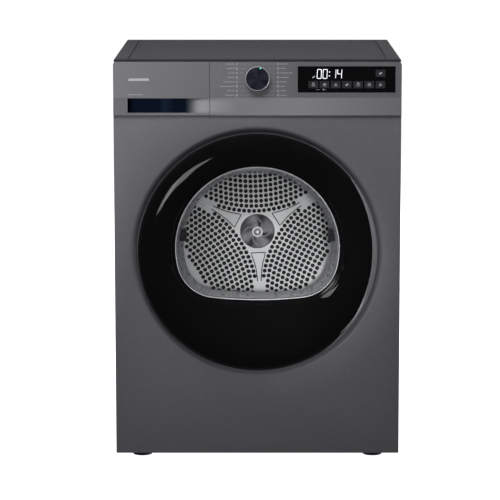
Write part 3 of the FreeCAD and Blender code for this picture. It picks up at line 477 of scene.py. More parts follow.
def finishFor(name, colour, roughness=0.4, metallic=0.0, size=1.0, spread=0.08, bump=0.02, cloud=0.06,
              dust=0.05, wear=0.12, worn=None, coat=0.0, specular=0.5, brush=None, bumpDepth=0.0002):
    # one painter for every plain finish: base colour with slow variation, grain, dust and worn edges
    material, tree, surface = startMaterial(name)
    paint = tuple(colour) + (1.0,)
    pale = tuple(min(1.0, channel * 1.12 + 0.004) for channel in colour) + (1.0,)
    grain = use(tree, "grain", Size=size, Roughness=roughness, Spread=spread)
    tone = blendColours(tree, remap(tree, grain.outputs["Cloud"], 0.3, 0.7, 0.0, cloud * 8), paint, pale)
    edge = use(tree, "wear", Color=tone, Worn=tuple(worn or pale[:3]) + (1.0,), Amount=wear)
    dusty = use(tree, "dust", Color=edge.outputs["Color"], Amount=dust)
    feed(tree, surface.inputs["Base Color"], dusty.outputs["Color"])
    height = grain.outputs["Height"]
    rough = grain.outputs["Roughness"]
    if brush:
        lines = use(tree, "brush", Stretch=brush, Roughness=roughness, Spread=spread * 2)
        height = lines.outputs["Height"]
        rough = lines.outputs["Roughness"]
    feed(tree, surface.inputs["Roughness"], rough)
    relief = node(tree, "ShaderNodeBump")
    relief.inputs["Strength"].default_value = bump
    relief.inputs["Distance"].default_value = bumpDepth
    feed(tree, relief.inputs["Height"], height)
    feed(tree, surface.inputs["Normal"], relief.outputs[0])
    surface.inputs["Metallic"].default_value = metallic
    surface.inputs["Coat Weight"].default_value = coat
    surface.inputs["Specular IOR Level"].default_value = specular
    return material


def clearFinish():
    # clear moulded window: lets light straight through and mirrors by angle
    material, tree, surface = startMaterial("clearWindow")
    tree.nodes.remove(surface)
    through = node(tree, "ShaderNodeBsdfTransparent")
    through.inputs["Color"].default_value = (0.985, 0.99, 0.99, 1.0)
    mirror = node(tree, "ShaderNodeBsdfGlossy")
    mirror.inputs["Roughness"].default_value = 0.03
    angle = node(tree, "ShaderNodeFresnel")
    angle.inputs["IOR"].default_value = 1.45
    capped = sumNode(tree, "MINIMUM", sumNode(tree, "MULTIPLY", angle.outputs[0], 0.8), 0.22)
    mixed = node(tree, "ShaderNodeMixShader")
    feed(tree, mixed.inputs[0], capped)
    tree.links.new(through.outputs[0], mixed.inputs[1])
    tree.links.new(mirror.outputs[0], mixed.inputs[2])
    tree.links.new(mixed.outputs[0], tree.nodes["Material Output"].inputs["Surface"])
    return material


def glowFinish(name, colour, strength):
    material, tree, surface = startMaterial(name)
    surface.inputs["Base Color"].default_value = tuple(colour) + (1.0,)
    surface.inputs["Roughness"].default_value = 0.4
    surface.inputs["Emission Color"].default_value = tuple(colour) + (1.0,)
    surface.inputs["Emission Strength"].default_value = strength
    return material


def spunPaintedSheen(name, dark, light, centreX, centreZ):
    # painted sheen: wedges of light and dark swing round the centre in the base colour, standing in for the reflections
    # of conical brushing
    material, tree, surface = startMaterial(name)
    coords = node(tree, "ShaderNodeTexCoord")
    shift = node(tree, "ShaderNodeVectorMath", operation="SUBTRACT")
    feed(tree, shift.inputs[0], coords.outputs["Object"])
    shift.inputs[1].default_value = (centreX * mm, 0.0, centreZ * mm)
    parts = node(tree, "ShaderNodeSeparateXYZ")
    feed(tree, parts.inputs[0], shift.outputs[0])
    bearing = sumNode(tree, "ARCTAN2", parts.outputs[2], parts.outputs[0])
    wave = node(tree, "ShaderNodeMath", operation="SINE")
    feed(tree, wave.inputs[0], sumNode(tree, "MULTIPLY", bearing, 4.0))
    second = node(tree, "ShaderNodeMath", operation="SINE")
    feed(tree, second.inputs[0], sumNode(tree, "MULTIPLY_ADD", bearing, 7.0, 1.3))
    share = sumNode(tree, "MULTIPLY_ADD", second.outputs[0], 0.4, wave.outputs[0])
    share = remap(tree, share, -1.2, 1.3)
    feed(tree, surface.inputs["Base Color"], blendColours(tree, share, dark + (1.0,), light + (1.0,)))
    grain = use(tree, "grain", Size=0.6, Roughness=0.34, Spread=0.1)
    feed(tree, surface.inputs["Roughness"], grain.outputs["Roughness"])
    surface.inputs["Metallic"].default_value = 0.25
    return material


finishes = {
    "painted_steel": finishFor("anthracitePaint", (0.105, 0.103, 0.112), 0.42, 0.0, 0.5, 0.08, 0.05, 0.03,
                               0.05, 0.10, (0.22, 0.22, 0.23)),
    "fascia_plastic": finishFor("fasciaPaint", (0.152, 0.150, 0.161), 0.40, 0.08, 0.5, 0.08, 0.04, 0.02,
                                0.03, 0.08, (0.3, 0.3, 0.31)),
    "worktop_plastic": finishFor("worktopGrain", (0.061, 0.061, 0.066), 0.52, 0.0, 3.0, 0.10, 0.16, 0.05,
                                 0.03, 0.12, (0.12, 0.12, 0.125)),
    "black_gloss": finishFor("pianoBlack", (0.0014, 0.0014, 0.0016), 0.055, 0.0, 1.0, 0.015, 0.0, 0.02,
                             0.01, 0.0, coat=0.0, specular=0.42),
    "black_plastic": finishFor("satinBlack", (0.012, 0.012, 0.013), 0.42, 0.0, 2.0, 0.12, 0.12, 0.05, 0.06,
                               0.15, (0.05, 0.05, 0.05)),
    "grey_plastic": finishFor("lightGreyMoulding", (0.19, 0.19, 0.195), 0.38, 0.0, 3.0, 0.1, 0.15, 0.05, 0.08,
                              0.1, (0.5, 0.5, 0.5)),
    "seal_rubber": finishFor("sealRubber", (0.010, 0.010, 0.011), 0.55, 0.0, 2.0, 0.15, 0.2, 0.05, 0.06,
                             0.1, (0.04, 0.04, 0.04)),
    "stainless": finishFor("drumSteel", (0.60, 0.60, 0.605), 0.34, 0.45, 1.0, 0.05, 0.02, 0.03, 0.0,
                           0.2, (0.8, 0.8, 0.8), brush=(0.03, 1.0, 1.0), bumpDepth=0.00005),
    "galvanised": finishFor("zincSheet", (0.42, 0.43, 0.44), 0.42, 0.9, 6.0, 0.25, 0.05, 0.10, 0.10, 0.2,
                            (0.6, 0.6, 0.6)),
    "chrome_trim": finishFor("brightTrim", (0.62, 0.63, 0.66), 0.2, 0.7, 1.0, 0.04, 0.02, 0.02, 0.0, 0.1),
    "fin_aluminium": finishFor("finStock", (0.66, 0.67, 0.68), 0.34, 1.0, 2.0, 0.1, 0.06, 0.05, 0.10, 0.1),
    "copper_pipe": finishFor("drawnCopper", (0.70, 0.34, 0.20), 0.28, 1.0, 3.0, 0.15, 0.06, 0.12, 0.05, 0.1),
    "black_steel": finishFor("blackEnamel", (0.016, 0.016, 0.018), 0.3, 0.2, 1.0, 0.1, 0.06, 0.05, 0.08, 0.3,
                             (0.2, 0.2, 0.2)),
    "filter_plastic": finishFor("blueMoulding", (0.035, 0.07, 0.13), 0.4, 0.0, 2.0, 0.1, 0.12, 0.05, 0.12,
                                0.1, (0.2, 0.3, 0.45)),
    "display_black": finishFor("displayGlass", (0.0022, 0.0022, 0.0026), 0.09, 0.0, 1.0, 0.02, 0.0, 0.02,
                               0.0, 0.0, specular=0.3),
    "key_plastic": finishFor("keyGloss", (0.024, 0.0245, 0.026), 0.3, 0.0, 1.0, 0.04, 0.02, 0.02, 0.0,
                             0.1, (0.04, 0.04, 0.045), specular=0.3),
    "clear_window": clearFinish(),
}
dialBox = boxOf("dial_knob")
hubBox = boxOf("drum_hub")
# dial face: dark spun metal with painted sheen wedges
finishes["spun_metal"] = spunPaintedSheen("spunFacePaintedSheen", (0.0055, 0.0065, 0.012), (0.022, 0.0235, 0.037),
                                    dialBox["x"], dialBox["z"])


def paintPocketShadeAndHighlight(material, paintedShadeColour, bright):
    # painted light and shade: lighter and darker sides either side of the crease stand in for metallic flop, the grip
    # pocket is painted dark as its shade and its sweep gets a painted highlight
    tree = material.node_tree
    surface = tree.nodes["Principled BSDF"]
    colour = surface.inputs["Base Color"].links[0].from_socket
    parts = node(tree, "ShaderNodeSeparateXYZ")
    feed(tree, parts.inputs[0], node(tree, "ShaderNodeTexCoord").outputs["Object"])
    inward = sumNode(tree, "MULTIPLY_ADD", parts.outputs[1], 1 / mm, -frontY / mm)
    # painted shading: above the crease the colour darkens from left to right, below it brightens towards the middle and
    # darkens at both ends
    below = remap(tree, parts.outputs[2], 0.7672, 0.7680, 1.0, 0.0)
    upper = remap(tree, parts.outputs[0], -0.298, 0.10, 1.15, 0.74)
    lower = sumNode(tree, "MULTIPLY", remap(tree, parts.outputs[0], -0.298, 0.07, 0.78, 1.22),
                    remap(tree, parts.outputs[0], 0.09, 0.298, 1.0, 0.7))
    paintedSideShading = sumNode(tree, "MULTIPLY_ADD", below, sumNode(tree, "SUBTRACT", lower, upper), upper)
    colour = blendColours(tree, 1.0, colour, paintedSideShading, "MULTIPLY")
    # painted highlight where the pocket's sweep turns towards the light
    paintedSweepHighlight = remap(tree, parts.outputs[0], -0.140, -0.118)
    paintedSweepHighlight = sumNode(tree, "MULTIPLY", paintedSweepHighlight, remap(tree, parts.outputs[0], -0.110, -0.040, 1.0, 0.0))
    paintedSweepHighlight = sumNode(tree, "MULTIPLY", paintedSweepHighlight, remap(tree, parts.outputs[2], 0.7345, 0.740))
    paintedSweepHighlight = sumNode(tree, "MULTIPLY", paintedSweepHighlight, remap(tree, parts.outputs[2], 0.758, 0.767, 1.0, 0.0))
    colour = blendColours(tree, sumNode(tree, "MULTIPLY", paintedSweepHighlight, 0.34), colour, bright + (1.0,))
    # painted shade deepening into the grip pocket, kept to the pocket's box; the same mask makes the pocket metallic so
    # its dark colour holds
    paintedPocketShade = remap(tree, inward, 1.5, 8.0)
    for axis, low, high in ((0, -0.290, -0.288), (0, -0.060, -0.062), (2, 0.733, 0.7345), (2, 0.769, 0.7675),
                            (1, frontY + 0.034, frontY + 0.030)):
        paintedPocketShade = sumNode(tree, "MULTIPLY", paintedPocketShade, remap(tree, parts.outputs[axis], low, high))
    colour = blendColours(tree, sumNode(tree, "MULTIPLY", paintedPocketShade, 0.985), colour, paintedShadeColour + (1.0,))
    metal = surface.inputs["Metallic"].default_value
    feed(tree, surface.inputs["Metallic"], remap(tree, paintedPocketShade, 0.0, 1.0, metal, 1.0))
    feed(tree, surface.inputs["Base Color"], colour)
    return material


# dark navy painted shade and pale painted highlight for the grip pocket
paintPocketShadeAndHighlight(finishes["fascia_plastic"], (0.011, 0.021, 0.048), (0.5, 0.5, 0.51))
extra = {
    "darkChrome": finishFor("darkChrome", (0.20, 0.20, 0.21), 0.16, 1.0, 1.0, 0.05, 0.02, 0.05, 0.0, 0.2,
                            (0.7, 0.7, 0.7)),
    "lip": finishFor("lipPaint", (0.018, 0.018, 0.02), 0.5, 0.0, 2.0, 0.1, 0.1, 0.05, 0.0, 0.1),
    # hub face: spun metal with strong painted sheen wedges
    "hubFacePaintedSheen": spunPaintedSheen("hubFacePaintedSheen", (0.022, 0.022, 0.024), (0.16, 0.16, 0.17), 0.0, hubBox["z"]),
    "hubVane": finishFor("hubVane", (0.20, 0.20, 0.205), 0.25, 0.3),
    "grip": finishFor("gripTrim", (0.42, 0.42, 0.44), 0.24, 0.6),
    "shade": finishFor("rearShade", (0.003, 0.003, 0.0033), 0.6, 0.0, 2.0, 0.1, 0.05, 0.05, 0.0, 0.0),
    # printed legend and drawer mark, given a faint painted glow
    "print": glowFinish("legendPrintPaintedGlow", (0.42, 0.42, 0.43), 0.02),
    "lining": finishFor("throatLining", (0.22, 0.22, 0.225), 0.3, 0.1, 3.0, 0.2, 0.25, 0.12, 0.08, 0.1,
                        (0.3, 0.3, 0.3), brush=(0.4, 0.05, 0.4)),
    "rim": finishFor("windowRim", (0.42, 0.43, 0.45), 0.25, 0.2),
    "digits": glowFinish("displayLight", (0.86, 0.88, 0.92), 0.66),
    "icons": glowFinish("keyLight", (0.30, 0.31, 0.33), 0.22),
    "dot": glowFinish("indicator", (0.12, 0.72, 0.62), 0.35),
}
print("finishes made")


def wear(piece, finish):
    piece.data.materials.clear()
    piece.data.materials.append(finish)


def seat(piece, body, slot, finish=None, replaces=()):
    wear(piece, finish or finishes[slot])
    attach(piece, body)
    if replaces:
        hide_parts(*replaces)
    return piece


bodyOf = {name: body for body, names in frame["record"]["behaviour"]["bodies"].items() for name in names}
slotOf = {entry["node"]: entry["material_slot"] for entry in frame["record"]["subparts"]}
for name, cadNode in frame["nodes"].items():
    wear(cadNode, finishes[slotOf[name]])


def creaseSharp(piece, z):
    only(piece)
    bpy.ops.object.mode_set(mode="EDIT")
    bpy.ops.mesh.select_all(action="DESELECT")
    build = bmesh.from_edit_mesh(piece.data)
    for edge in build.edges:
        if all(abs(corner.co.z - z * mm) < 0.0004 and corner.co.y < frontY + 0.001 for corner in edge.verts):
            edge.select = True
    bmesh.update_edit_mesh(piece.data)
    bpy.ops.mesh.mark_sharp()
    bpy.ops.object.mode_set(mode="OBJECT")


def refined(name, width, segments=2, angle=32, crease=None):
    # the CAD piece itself, welded and given the small rounded edges of the moulding or pressing
    source = frame["nodes"][name]
    piece = copyOf(source, name + "_finished")
    piece.parent = None
    only(piece)
    bpy.ops.object.mode_set(mode="EDIT")
    bpy.ops.mesh.select_all(action="SELECT")
    bpy.ops.mesh.remove_doubles(threshold=0.00002)
    bpy.ops.mesh.dissolve_limited(angle_limit=radians(1.0))
    bpy.ops.object.mode_set(mode="OBJECT")
    if width:
        roundOff(piece, width, segments, angle)
    smooth(piece, 30, True, crease)
    return seat(piece, bodyOf[name], slotOf[name], replaces=(name,))

# ---------------------------------------------------------------- cabinet
cabinet = {
    "half": (cadBox[1][0] - cadBox[0][0]) / 2 / mm, "top": cadBox[1][2] / mm, "edge": 5.0,
    "panelTop": boxOf("front_panel")["z1"], "panelFoot": boxOf("front_panel")["z0"], "return": 25.0,
}
door = boxOf("door_front_ring")
door["radius"] = (door["x1"] - door["x0"]) / 2
dish = {"radius": door["radius"] + 11.0, "floor": door["radius"] + 2.6, "depth": 14.0, "hole": 192.0,
        "lip": 5.0, "sides": 256}


def makeFrontPanel():
    half = cabinet["half"]
    sheet = boxPiece("sheet", -half, half, 0, cabinet["return"], cabinet["panelFoot"], cabinet["panelTop"])
    only(sheet)
    bpy.ops.object.mode_set(mode="EDIT")
    build = bmesh.from_edit_mesh(sheet.data)
    for edge in build.edges:
        upright = abs(edge.verts[0].co.z - edge.verts[1].co.z) > 0.1
        edge.select = upright and edge.verts[0].co.y < frontY + 0.001
    build.select_flush_mode()
    bmesh.update_edit_mesh(sheet.data)
    bpy.ops.mesh.bevel(offset=cabinet["edge"] * mm, segments=6)
    bpy.ops.mesh.select_all(action="DESELECT")
    build = bmesh.from_edit_mesh(sheet.data)
    for face in build.faces:
        face.select = face.normal.y > 0.9
    bmesh.update_edit_mesh(sheet.data)
    bpy.ops.mesh.delete(type="FACE")
    bpy.ops.object.mode_set(mode="OBJECT")
    roundOff(sheet, 0.9, 2, 60)
    wall = sheet.modifiers.new("wall", "SOLIDIFY")
    wall.thickness = 1.2 * mm
    wall.offset = -1
    applyAll(sheet)
    rim = dish["radius"] + dish["lip"]
    cutAway(sheet, rod("hole", door["x"], door["z"], rim, -2, 4, dish["sides"]))
    smooth(sheet)
    depth = dish["depth"]
    bowl = ringPiece("bowl", (door["x"], door["z"]), [
        circle(rim, 0), circle(rim - 2.0, 0.15), circle(rim - 4.2, 0.9), circle(rim - 6.4, 2.4), circle(rim - 8.4, 4.6),
        circle(dish["floor"] + 1.5, 8.6), circle(dish["floor"], depth, 3), circle(dish["hole"], depth, 0.4),
        circle(dish["hole"], depth + 1.2, 0.2), circle(dish["floor"] + 0.8, depth + 1.2, 3),
        circle(dish["floor"] + 2.6, 9.3), circle(rim - 7.4, 5.4), circle(rim - 5.4, 3.3), circle(rim - 3.4, 2.0),
        circle(rim, 1.2)], count=dish["sides"], closed=True)
    hinge = boxOf("hinge_bracket")
    latch = boxOf("latch_housing")
    recess = boxPiece("recess", hinge["x0"] - 24, hinge["x0"] + 23, depth - 3, depth + 4,
                      door["z"] - 80, door["z"] + 80, 2.0, 2)
    keep = recess.modifiers.new("keep", "BOOLEAN")
    keep.operation = "INTERSECT"
    keep.solver = "EXACT"
    keep.object = rod("keep", door["x"], door["z"], dish["floor"] - 3, depth - 5, depth + 6, 128)
    limit = keep.object
    applyAll(recess)
    bpy.data.objects.remove(limit)
    cutAway(bowl, recess)
    slot = boxPiece("slot", latch["x"] - 6.5, latch["x"] + 6.5, depth - 3, depth + 4,
                    door["z"] - 9, door["z"] + 9, 2.0, 3)
    cutAway(bowl, slot)
    smooth(bowl)
    panel = joined("front_panel_pressing", [sheet, bowl])
    seat(panel, "cabinet", "painted_steel", replaces=("front_panel",))
    print("front panel made")


def makeSide(side):
    name = "left_side_panel" if side < 0 else "right_side_panel"
    place = boxOf(name)
    half = cabinet["half"]
    x0, x1 = (-half, -half + 1.2) if side < 0 else (half - 1.2, half)
    panel = boxPiece(name + "_pressing", x0, x1, place["t0"], place["t1"], place["z0"], place["z1"])
    # a broad shallow pressed field stiffens the sheet
    pickFaces(panel, lambda face: abs(face.normal.x) > 0.9)
    bpy.ops.mesh.inset(thickness=62 * mm)
    bpy.ops.mesh.inset(thickness=9 * mm)
    bpy.ops.transform.translate(value=(-side * 2.2 * mm, 0, 0))
    bpy.ops.object.mode_set(mode="OBJECT")
    roundOff(panel, 4.0, 4, 8)
    flange = place["x1"] - place["x0"]
    inner = (x0, x0 + flange) if side < 0 else (x1 - flange, x1)
    strips = [boxPiece("strip", inner[0], inner[1], t, t + 1.2, 47, place["z1"] - 90, 0.4, 2)
              for t in (place["t0"], place["t1"] - 1.2)]
    panel = joined(name + "_pressing", [panel] + strips)
    smooth(panel)
    seat(panel, "cabinet", "painted_steel", replaces=(name,))


def makeWorktop():
    frameBox = boxOf("worktop_frame")
    board = boxOf("worktop_board")
    half = frameBox["x1"]
    rear = frameBox["t1"]
    top = cabinet["top"]
    slab = boxPiece("slab", -half, half, cabinet["return"] + 1, rear, top - 30, top, 0)
    only(slab)
    bpy.ops.object.mode_set(mode="EDIT")
    build = bmesh.from_edit_mesh(slab.data)
    for edge in build.edges:
        upright = abs(edge.verts[0].co.z - edge.verts[1].co.z) > 0.01
        edge.select = upright and edge.verts[0].co.y > 0
    build.select_flush_mode()
    bmesh.update_edit_mesh(slab.data)
    bpy.ops.mesh.bevel(offset=8 * mm, segments=6)
    bpy.ops.object.mode_set(mode="OBJECT")
    lip = boxPiece("lip", -half, half, frameBox["t0"], cabinet["return"] + 1.2, top - 2.7, top, 0)
    well = boxPiece("well", board["x0"] - 1.6, board["x1"] + 1.6, board["t0"] - 1.6, board["t1"] + 1.6,
                    board["z0"] + 0.4, top + 5, 5.0, 5)
    cutAway(slab, well)
    roundOff(slab, 1.6, 3, 50)
    roundOff(lip, 1.1, 3, 50)
    smooth(slab)
    smooth(lip)
    slab.name = "worktop_surround"
    lip.name = "worktop_front_lip"
    seat(slab, "cabinet", "worktop_plastic", replaces=("worktop_frame",))
    seat(lip, "cabinet", "worktop_plastic", extra["lip"])
    top = top - 0.7
    panel = boxPiece("worktop_panel", board["x0"], board["x1"], board["t0"], board["t1"], board["z0"] + 0.6, top)
    # a fine bead runs round the board, a little in from its edge
    pickFaces(panel, lambda face: face.normal.z > 0.9)
    bpy.ops.mesh.inset(thickness=7 * mm)
    bpy.ops.mesh.inset(thickness=1.2 * mm)
    bpy.ops.transform.translate(value=(0, 0, -0.9 * mm))
    bpy.ops.mesh.inset(thickness=1.2 * mm)
    bpy.ops.transform.translate(value=(0, 0, 0.6 * mm))
    bpy.ops.object.mode_set(mode="OBJECT")
    roundOff(panel, 0.8, 3, 20)
    smooth(panel)
    seat(panel, "cabinet", "worktop_plastic", replaces=("worktop_board",))
    print("worktop made")


def makeScrew(name, x, z, t, radius, body, toward=-1):
    head = ringPiece(name, (x, z), [circle(radius, t), circle(radius, t + toward * radius * 0.25, 0.2),
                                    circle(radius * 0.75, t + toward * radius * 0.62, 0.3),
                                    circle(0.05, t + toward * radius * 0.7)], count=20, capEnds=True)
    for turn in (0, pi / 2):
        arm = boxPiece("arm", x - radius * 0.5, x + radius * 0.5, t + toward * radius * 0.9,
                       t + toward * radius * 0.35, z - radius * 0.1, z + radius * 0.1)
        turnAbout(arm, x, z, turn + 0.4)
        cutAway(head, arm)
    return head


def makeBack():
    place = boxOf("rear_panel")
    t = place["t1"]
    screws = []
    for x in (-285, -95, 95, 285):
        for z in (40, 400, 790) if abs(x) > 200 else (40, 790):
            screws.append(makeScrew("screw", x, z, t, 4.2, "cabinet", 1))
    cover = boxOf("rear_duct_cover")
    for step in range(10):
        angle = step * pi / 5 + 0.3
        reach = (cover["x1"] - cover["x0"]) / 2 - 4
        screws.append(makeScrew("screw", cover["x"] + reach * cos(angle), cover["z"] + reach * sin(angle),
                                t + 1.5, 3.4, "cabinet", 1))
    seat(joined("rear_screws", screws), "cabinet", "galvanised", extra["darkChrome"])
    radius = (cover["x1"] - cover["x0"]) / 2
    back = cover["t1"]
    pressing = ringPiece("rear_cover_pressing", (cover["x"], cover["z"]), [
        circle(radius, cover["t0"], 0), circle(radius, cover["t0"] + 1.4, 0.5), circle(radius - 8, cover["t0"] + 1.4, 3),
        circle(radius - 16, back - 5, 6), circle(radius - 46, back, 10), circle(150, back, 3),
        circle(143, back - 4, 3), circle(118, back - 4, 3), circle(111, back, 3), circle(60, back, 3),
        circle(54, back - 3, 3), circle(0.05, back - 3), circle(0.05, back - 4.5), circle(56, back - 4.5, 2),
        circle(61, back - 1.5, 2), circle(109, back - 1.5, 2), circle(117, back - 5.5, 2),
        circle(144, back - 5.5, 2), circle(151, back - 1.5, 2), circle(radius - 46, back - 1.5, 8),
        circle(radius - 18, back - 7, 4), circle(radius - 10, cover["t0"], 1)], count=128, closed=True)
    ribs = []
    for step in range(6):
        rib = boxPiece("rib", cover["x"] - 3, cover["x"] + 3, back - 2.5, back - 0.1, cover["z"] + 66,
                       cover["z"] + 106, 1.2, 3)
        turnAbout(rib, cover["x"], cover["z"], step * pi / 3)
        ribs.append(rib)
    pressing = joined("rear_cover_pressing", [pressing] + ribs)
    smooth(pressing)
    seat(pressing, "cabinet", "galvanised", replaces=("rear_duct_cover",))
    print("back made")


makeFrontPanel()
makeSide(-1)
makeSide(1)
makeWorktop()
makeBack()

# ---------------------------------------------------------------- fascia, display and dial
for part in ("control_fascia", "drawer_front"):
    refined(part, 0.7, 3, 28, boxOf(part)["z1"] - 74.4)
window = boxOf("display_window")
glass = refined("display_window", 0.25, 2)


def bar(name, x0, x1, z0, z1, t, thickness=0.06):
    return boxPiece(name, x0, x1, t - thickness, t + 0.02, z0, z1)


def segmentShape(name, x, z, length, width, t, upright):
    # one stroke of a digit: a slim bar with pointed ends
    piece = bar(name, x - length / 2, x + length / 2, z - width / 2, z + width / 2, t)
    only(piece)
    bpy.ops.object.mode_set(mode="EDIT")
    build = bmesh.from_edit_mesh(piece.data)
    for edge in build.edges:
        edge.select = abs(edge.verts[0].co.y - edge.verts[1].co.y) > 0.00001
    build.select_flush_mode()
    bmesh.update_edit_mesh(piece.data)
    bpy.ops.mesh.bevel(offset=width * 0.48 * mm, segments=1)
    bpy.ops.object.mode_set(mode="OBJECT")
    if upright:
        turnAbout(piece, x, z, pi / 2)
    return piece


display = {"left": 127.6, "pitch": 12.0, "width": 8.4, "height": 18.4, "stroke": 1.2, "lean": 0.05,
           "pairGap": 6.0}
strokes = {"0": "abcdef", "1": "bc", "4": "fgbc"}


def makeDigits():
    t = window["t0"]
    base = window["z1"] - 15.6
    half = display["height"] / 4
    pieces = []
    spots = {"a": (0, 2 * half, False), "g": (0, 0, False), "d": (0, -2 * half, False),
             "f": (-display["width"] / 2, half, True), "b": (display["width"] / 2, half, True),
             "e": (-display["width"] / 2, -half, True), "c": (display["width"] / 2, -half, True)}
    for index, digit in enumerate("0014"):
        x = display["left"] + index * display["pitch"] + (display["pairGap"] if index > 1 else 0)
        for letter in strokes[digit]:
            dx, dz, upright = spots[letter]
            length = (half * 2 if upright else display["width"]) - display["stroke"] * 0.35
            pieces.append(segmentShape("stroke", x + dx, base + dz, length, display["stroke"], t, upright))
    colonX = display["left"] + 1.5 * display["pitch"] + display["pairGap"] / 2
    for dz in (-4, 4):
        pieces.append(rod("dot", colonX, base + dz, 1.1, t - 0.06, t + 0.02, 16))
    digits = joined("display_digits", pieces)
    for vertex in digits.data.vertices:
        vertex.co.x += (vertex.co.z - base * mm) * display["lean"]
    seat(digits, "cabinet", "display_black", extra["digits"])


def flatRing(x, z, outer, inner, t, sides=20):
    return ringPiece("ring", (x, z), [circle(outer, t), circle(outer, t - 0.06), circle(inner, t - 0.06),
                                      circle(inner, t)], count=sides, closed=True)


def iconParts(index, x, z, t):
    kind = index % 4
    if kind == 0:
        return [flatRing(x, z, 3.1, 2.1, t), bar("line", x - 1.4, x + 1.4, z + 3.7, z + 4.7, t)]
    if kind == 1:
        parts = [flatRing(x, z, 3.2, 2.2, t)]
        return parts + [bar("line", x - 0.4, x + 0.4, z - 0.2, z + 2.2, t), bar("line", x, x + 1.8, z - 0.4, z + 0.4, t)]
    if kind == 2:
        return [bar("line", x - 3.2 + step * 0.6, x + 3.2 - step * 0.6, z - 2.4 + step * 1.8, z - 1.4 + step * 1.8, t)
                for step in range(3)]
    leaf = segmentShape("leaf", x, z, 6.4, 3.0, t, False)
    turnAbout(leaf, x, z, 0.6)
    return [leaf]


def makeKeys():
    for index in range(8):
        name = "key_" + str(index + 1)
        place = boxOf(name)
        cap = boxPiece(name + "_cap", place["x0"], place["x1"], place["t0"], place["t1"], place["z0"], place["z1"])
        pickFaces(cap, lambda face: face.normal.y < -0.9)
        bpy.ops.mesh.inset(thickness=1.3 * mm)
        bpy.ops.transform.translate(value=(0, 0.25 * mm, 0))
        bpy.ops.object.mode_set(mode="OBJECT")
        roundOff(cap, 0.3, 3, 40)
        smooth(cap)
        seat(cap, bodyOf[name], "key_plastic", replaces=(name,))
        icon = joined(name + "_icon", iconParts(index, place["x"], place["z"], place["t0"] + 0.2))
        seat(icon, bodyOf[name], "key_plastic", extra["icons"])
    t = window["t0"]
    marks = [segmentShape("leaf", 116, window["z1"] - 22, 6, 2.4, t, False)]
    marks += [bar("line", 122 + step * 4.2, 124.6 + step * 4.2, window["z0"] + 5.6, window["z0"] + 6.3, t)
              for step in (0, 1, 3, 4)]
    marks.append(flatRing(136.2, window["z0"] + 6, 1.6, 1.1, t))
    turnAbout(marks[0], 116, window["z1"] - 22, 0.6)
    seat(joined("display_marks", marks), "cabinet", "display_black", extra["icons"])
    print("keys and display made")


legend = {"pitch": 9.22, "top": 837.4, "iconX": 42.6, "lineFrom": 27.0, "lineTo": 36.5,
          "words": [(17, 5), (14, 0), (11, 0), (15, 0), (22, 8), (30, 12), (13, 0), (19, 0)]}


def makeLegend():
    t = boxOf("control_fascia")["t0"] + 3.0
    parts = []
    for row in range(8):
        z = legend["top"] - row * legend["pitch"]
        off = z - dialBox["z"]
        for side in (-1, 1):
            x = dialBox["x"]
            icon = x + side * legend["iconX"]
            clear = sqrt(max(0.0, 28.5 ** 2 - off ** 2))
            start = max(clear, 8.0 if abs(off) > 24 else clear)
            lines = [(start + 1.5, legend["lineTo"])]
            for near, far in lines:
                low, high = sorted((x + side * near, x + side * far))
                parts.append(bar("line", low, high, z - 0.12, z + 0.12, t))
            parts.append(flatRing(icon, z, 2.4, 1.5, t, 8 if row % 2 else 4))
            reach = legend["words"][row if side < 0 else 7 - row][0] * (1.0 if side < 0 else 0.8)
            step = 0.0
            while step < reach:
                wide = 1.5 + 1.1 * ((row + int(step)) % 3) / 2
                low, high = sorted((icon + side * (5.0 + step), icon + side * (5.0 + step + wide)))
                parts.append(bar("word", low, high, z - 0.6, z + 0.6, t))
                step += wide + 0.9
    left = boxOf("drawer_front")["x0"]
    seat(joined("fascia_legend", parts), "cabinet", "fascia_plastic", extra["print"])
    mark = boxPiece("drawer_mark", left + 32, left + 74, t - 0.25, t + 0.02, 802.4, 807.6, 0.2, 2)
    small = [bar("word", left + 30 + step * 5.4, left + 34 + step * 5.4, 773.2, 774.6, t) for step in range(6)]
    seat(joined("drawer_mark", [mark] + small), "tank", "fascia_plastic", extra["print"])


